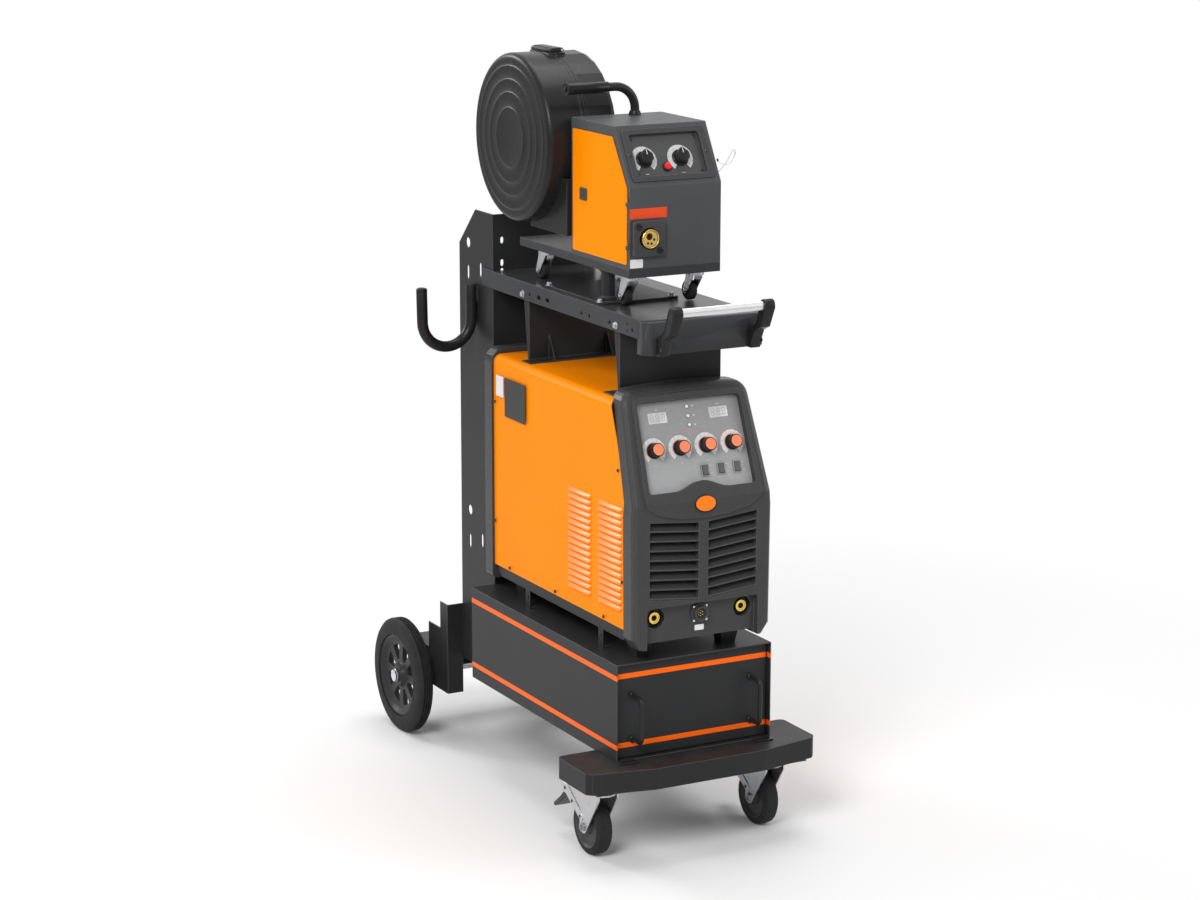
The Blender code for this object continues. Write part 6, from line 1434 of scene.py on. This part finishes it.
# ---------------------------------------------------------------- small parts of all three
class WELDER_OT_fasteners(bpy.types.Operator):
    """Screws and bolts of the covers, shelf, column and cabinet"""
    bl_idname = "welder.fasteners"
    bl_label = "Fasteners"

    def execute(self, context):
        cover = [facing("X", side, (side * COVER_X, y, z)) for side in (-1, 1)
                 for y, z in ((0.249, 0.879), (0.249, 0.605), (0.178, 0.51), (-0.044, 0.51), (-0.268, 0.51),
                              (-0.349, 0.605), (-0.33, 0.84))]
        put(set_of(screw(0.0042, 0.0022), cover), "cover_screws", "cart", "black_steel")
        bolts = [facing("X", side, (side * SHELF_X, y,
                                    1.1328)) for side in (-1, 1) for y in (0.166, -0.264)]
        put(set_of(hex_bolt(0.006, 0.0045, 0.0078), bolts), "shelf_bolts", "cart", "zinc")
        top = SHELF_TOP + GAP + 0.005
        corners = [shift_by(x, y, top) for x, y in ((-0.119, -0.168), (0.054, -0.168), (-0.119, 0.066),
                                                    (0.054, 0.066))]
        put(set_of(hex_bolt(0.0056, 0.0062, 0.008), corners), "post_bolts", "cart", "zinc")
        tabs = []
        for x in (-0.164, 0.164):
            tab = bevel(plate(oblong(x, -0.3866, 0.0225, 0.0102, 0.006), "Z", 0.2206, 0.2232), 0.0005, 2)
            tabs.append(cut(tab, plate(oblong(x, -0.386, 0.0165, 0.0052, 0.004), "Z", 0.21, 0.23)))
        put(together(tabs), "cabinet_tabs", "cart", "satin_black")
        side_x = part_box("feeder_case")[1][0]
        case = [facing("X", 1, (side_x, y, z)) for y, z in ((-0.245, 1.262), (-0.035, 1.262),
                                                            (-0.035, 1.515), (-0.19, 1.515))]
        put(set_of(screw(0.0036, 0.002), case), "case_screws", "feeder", "black_steel")
        return {"FINISHED"}


class WELDER_OT_louvres(bpy.types.Operator):
    """Pressed louvres in the cover's sides"""
    bl_idname = "welder.louvres"
    bl_label = "Louvres"

    def execute(self, context):
        wall, reach, length = 0.1581, 0.006, 0.1024
        rows = []
        for front in (-0.3412, -0.2032):
            for row in range(16):
                z = COVER_LOW + 0.279 - 0.024 - row * 0.0142
                slat = plate([(wall, z + 0.0049), (wall + reach, z - 0.0022),
                              (wall + reach, z - 0.0034), (wall, z - 0.0046)],
                             "Y", front, front + length)
                for corner in slat.data.vertices:
                    if corner.co.x > wall + 0.001:
                        corner.co.y += 0.003 if corner.co.y < front + 0.01 else -0.007
                rows.append(slat)
        side = bevel(together(rows), 0.0004, 1, 30)
        for hand, name in ((1, "right"), (-1, "left")):
            put(copy_of(side, Matrix.Scale(hand, 4, (1, 0, 0))), f"louvres_{name}", "cart", "louvre_paint")
        discard(side)
        return {"FINISHED"}


class WELDER_OT_cover_plates(bpy.types.Operator):
    """Bare plates on the cover's side, where such machines carry their data"""
    bl_idname = "welder.cover_plates"
    bl_label = "Cover plates"

    def execute(self, context):
        side = -COVER_X
        white = bevel(plate(oblong(0.223, 0.918, 0.018, 0.0235, 0.002), "X", side - 0.0005,
                            side - 0.0001), 0.0002, 1)
        put(white, "cover_plate_white", "cart", "white_plate")
        black = bevel(plate(oblong(0.148, 0.898, 0.051, 0.044, 0.0025), "X", side - 0.0005,
                            side - 0.0001), 0.0002, 1)
        put(black, "cover_plate_black", "cart", "black_label")
        return {"FINISHED"}


# ---------------------------------------------------------------- stage
class WELDER_OT_stage(bpy.types.Operator):
    """Pale floor, soft lamps, white surroundings and the camera"""
    bl_idname = "welder.stage"
    bl_label = "Stage"

    def execute(self, context):
        looks = context.scene.welder_looks
        deselect()
        bpy.ops.mesh.primitive_plane_add(size=60.0, location=(0, 0, 0))
        floor = bpy.context.object
        floor.name = "studio_floor"
        edit()
        bpy.ops.mesh.subdivide(number_cuts=4)
        leave()
        floor.data.materials.append(self.floor_material())
        self.surroundings()
        for name, place, width, power in LAMPS:
            self.lamp(name, place, width, power * looks.light)
        bpy.ops.object.camera_add(location=Vector(CAMERA_PLACE) + SHIFT,
                                  rotation=[math.radians(turn) for turn in CAMERA_TURN])
        camera = bpy.context.object
        camera.name = "camera"
        camera.data.lens = CAMERA_LENS
        camera.data.sensor_width = 36.0
        context.scene.camera = camera
        context.scene.view_settings.view_transform = "Standard"
        return {"FINISHED"}

    def lamp(self, name, place, size, power):
        """Round soft lamp aimed at the machine's middle."""
        target = Vector((0.0, SHIFT.y, LAMP_TARGET_Z))
        bpy.ops.object.light_add(type="AREA", location=place)
        lamp = bpy.context.object
        lamp.name = name
        lamp.data.shape = "DISK"
        lamp.data.size = size
        lamp.data.energy = power
        lamp.rotation_euler = (target - Vector(place)).to_track_quat("-Z", "Y").to_euler()

    def floor_material(self):
        """Pale floor that keeps the shadow near the machine and runs out to white away from it."""
        surface = Surface("studio_floor")
        material = surface.set(colour=surface.mix((0.86, 0.86, 0.86), (0.89, 0.89, 0.89),
                                                  surface.noise(0.6)),
                               roughness=0.9, specular=0.1)
        middle = surface.node("ShaderNodeMapping", None, {"Vector": surface.place,
                                                          "Scale": (1.0, 1.0, 0.0)})
        away = surface.node("ShaderNodeVectorMath", {"operation": "LENGTH"}, [middle], output="Value")
        seen = surface.node("ShaderNodeLightPath", output="Is Camera Ray")
        white = surface.node("ShaderNodeEmission", None, {"Color": (1.0, 1.0, 1.0, 1.0), "Strength": 1.0})
        shaded = Value(surface, surface.shader.outputs[0])
        blend = surface.node("ShaderNodeMixShader", None, {0: away.past(1.5, 1.8) * seen, 1: shaded,
                                                           2: white})
        surface.tree.links.new(blend.socket, surface.tree.nodes["Material Output"].inputs["Surface"])
        return material

    def surroundings(self):
        """World that is white to the camera and in reflections, and a plain light otherwise."""
        world = bpy.data.worlds.new("white_studio")
        bpy.context.scene.world = world
        world.use_nodes = True
        tree = world.node_tree
        background = tree.nodes["Background"]
        background.inputs["Color"].default_value = (1.0, 1.0, 1.0, 1.0)
        path = tree.nodes.new("ShaderNodeLightPath")
        seen = path.outputs["Is Camera Ray"]
        for ray in ("Is Glossy Ray", "Is Transmission Ray"):
            either = tree.nodes.new("ShaderNodeMath")
            either.operation = "MAXIMUM"
            tree.links.new(seen, either.inputs[0])
            tree.links.new(path.outputs[ray], either.inputs[1])
            seen = either.outputs[0]
        strength = tree.nodes.new("ShaderNodeMapRange")
        strength.inputs["To Min"].default_value = WORLD_LEVEL
        strength.inputs["To Max"].default_value = 1.0
        tree.links.new(seen, strength.inputs["Value"])
        tree.links.new(strength.outputs["Result"], background.inputs["Strength"])


OPERATORS = (WELDER_OT_surfaces, WELDER_OT_rear_wheels, WELDER_OT_front_casters, WELDER_OT_feeder_casters,
             WELDER_OT_drawer_bows, WELDER_OT_push_handle, WELDER_OT_hose_hook, WELDER_OT_shelf,
             WELDER_OT_carrying_handle, WELDER_OT_spool_cover, WELDER_OT_wire_reel,
             WELDER_OT_source_displays, WELDER_OT_source_knobs, WELDER_OT_source_switches,
             WELDER_OT_source_front, WELDER_OT_feeder_front, WELDER_OT_torch_socket,
             WELDER_OT_fasteners, WELDER_OT_louvres, WELDER_OT_cover_plates, WELDER_OT_stage)


class WELDER_PT_finish(bpy.types.Panel):
    """The machine's colours, sizes and the steps that make its pieces"""
    bl_idname = "WELDER_PT_finish"
    bl_label = "Welder finish"
    bl_space_type = "VIEW_3D"
    bl_region_type = "UI"
    bl_category = "Welder"

    def draw(self, context):
        column = self.layout.column()
        for group in (context.scene.welder_looks, context.scene.welder_sizes):
            for name in group.__annotations__:
                column.prop(group, name)
        for step in OPERATORS:
            column.operator(step.bl_idname)


CLASSES = (WelderLooks, WelderSizes) + OPERATORS + (WELDER_PT_finish,)


def register():
    for each in CLASSES:
        bpy.utils.register_class(each)
    bpy.types.Scene.welder_looks = PointerProperty(type=WelderLooks)
    bpy.types.Scene.welder_sizes = PointerProperty(type=WelderSizes)


def unregister():
    del bpy.types.Scene.welder_sizes
    del bpy.types.Scene.welder_looks
    for each in reversed(CLASSES):
        bpy.utils.unregister_class(each)


def main():
    register()
    for step in OPERATORS:
        group, name = step.bl_idname.split(".")
        getattr(getattr(bpy.ops, group), name)()
    deselect()


if __name__ == "__main__":
    main()
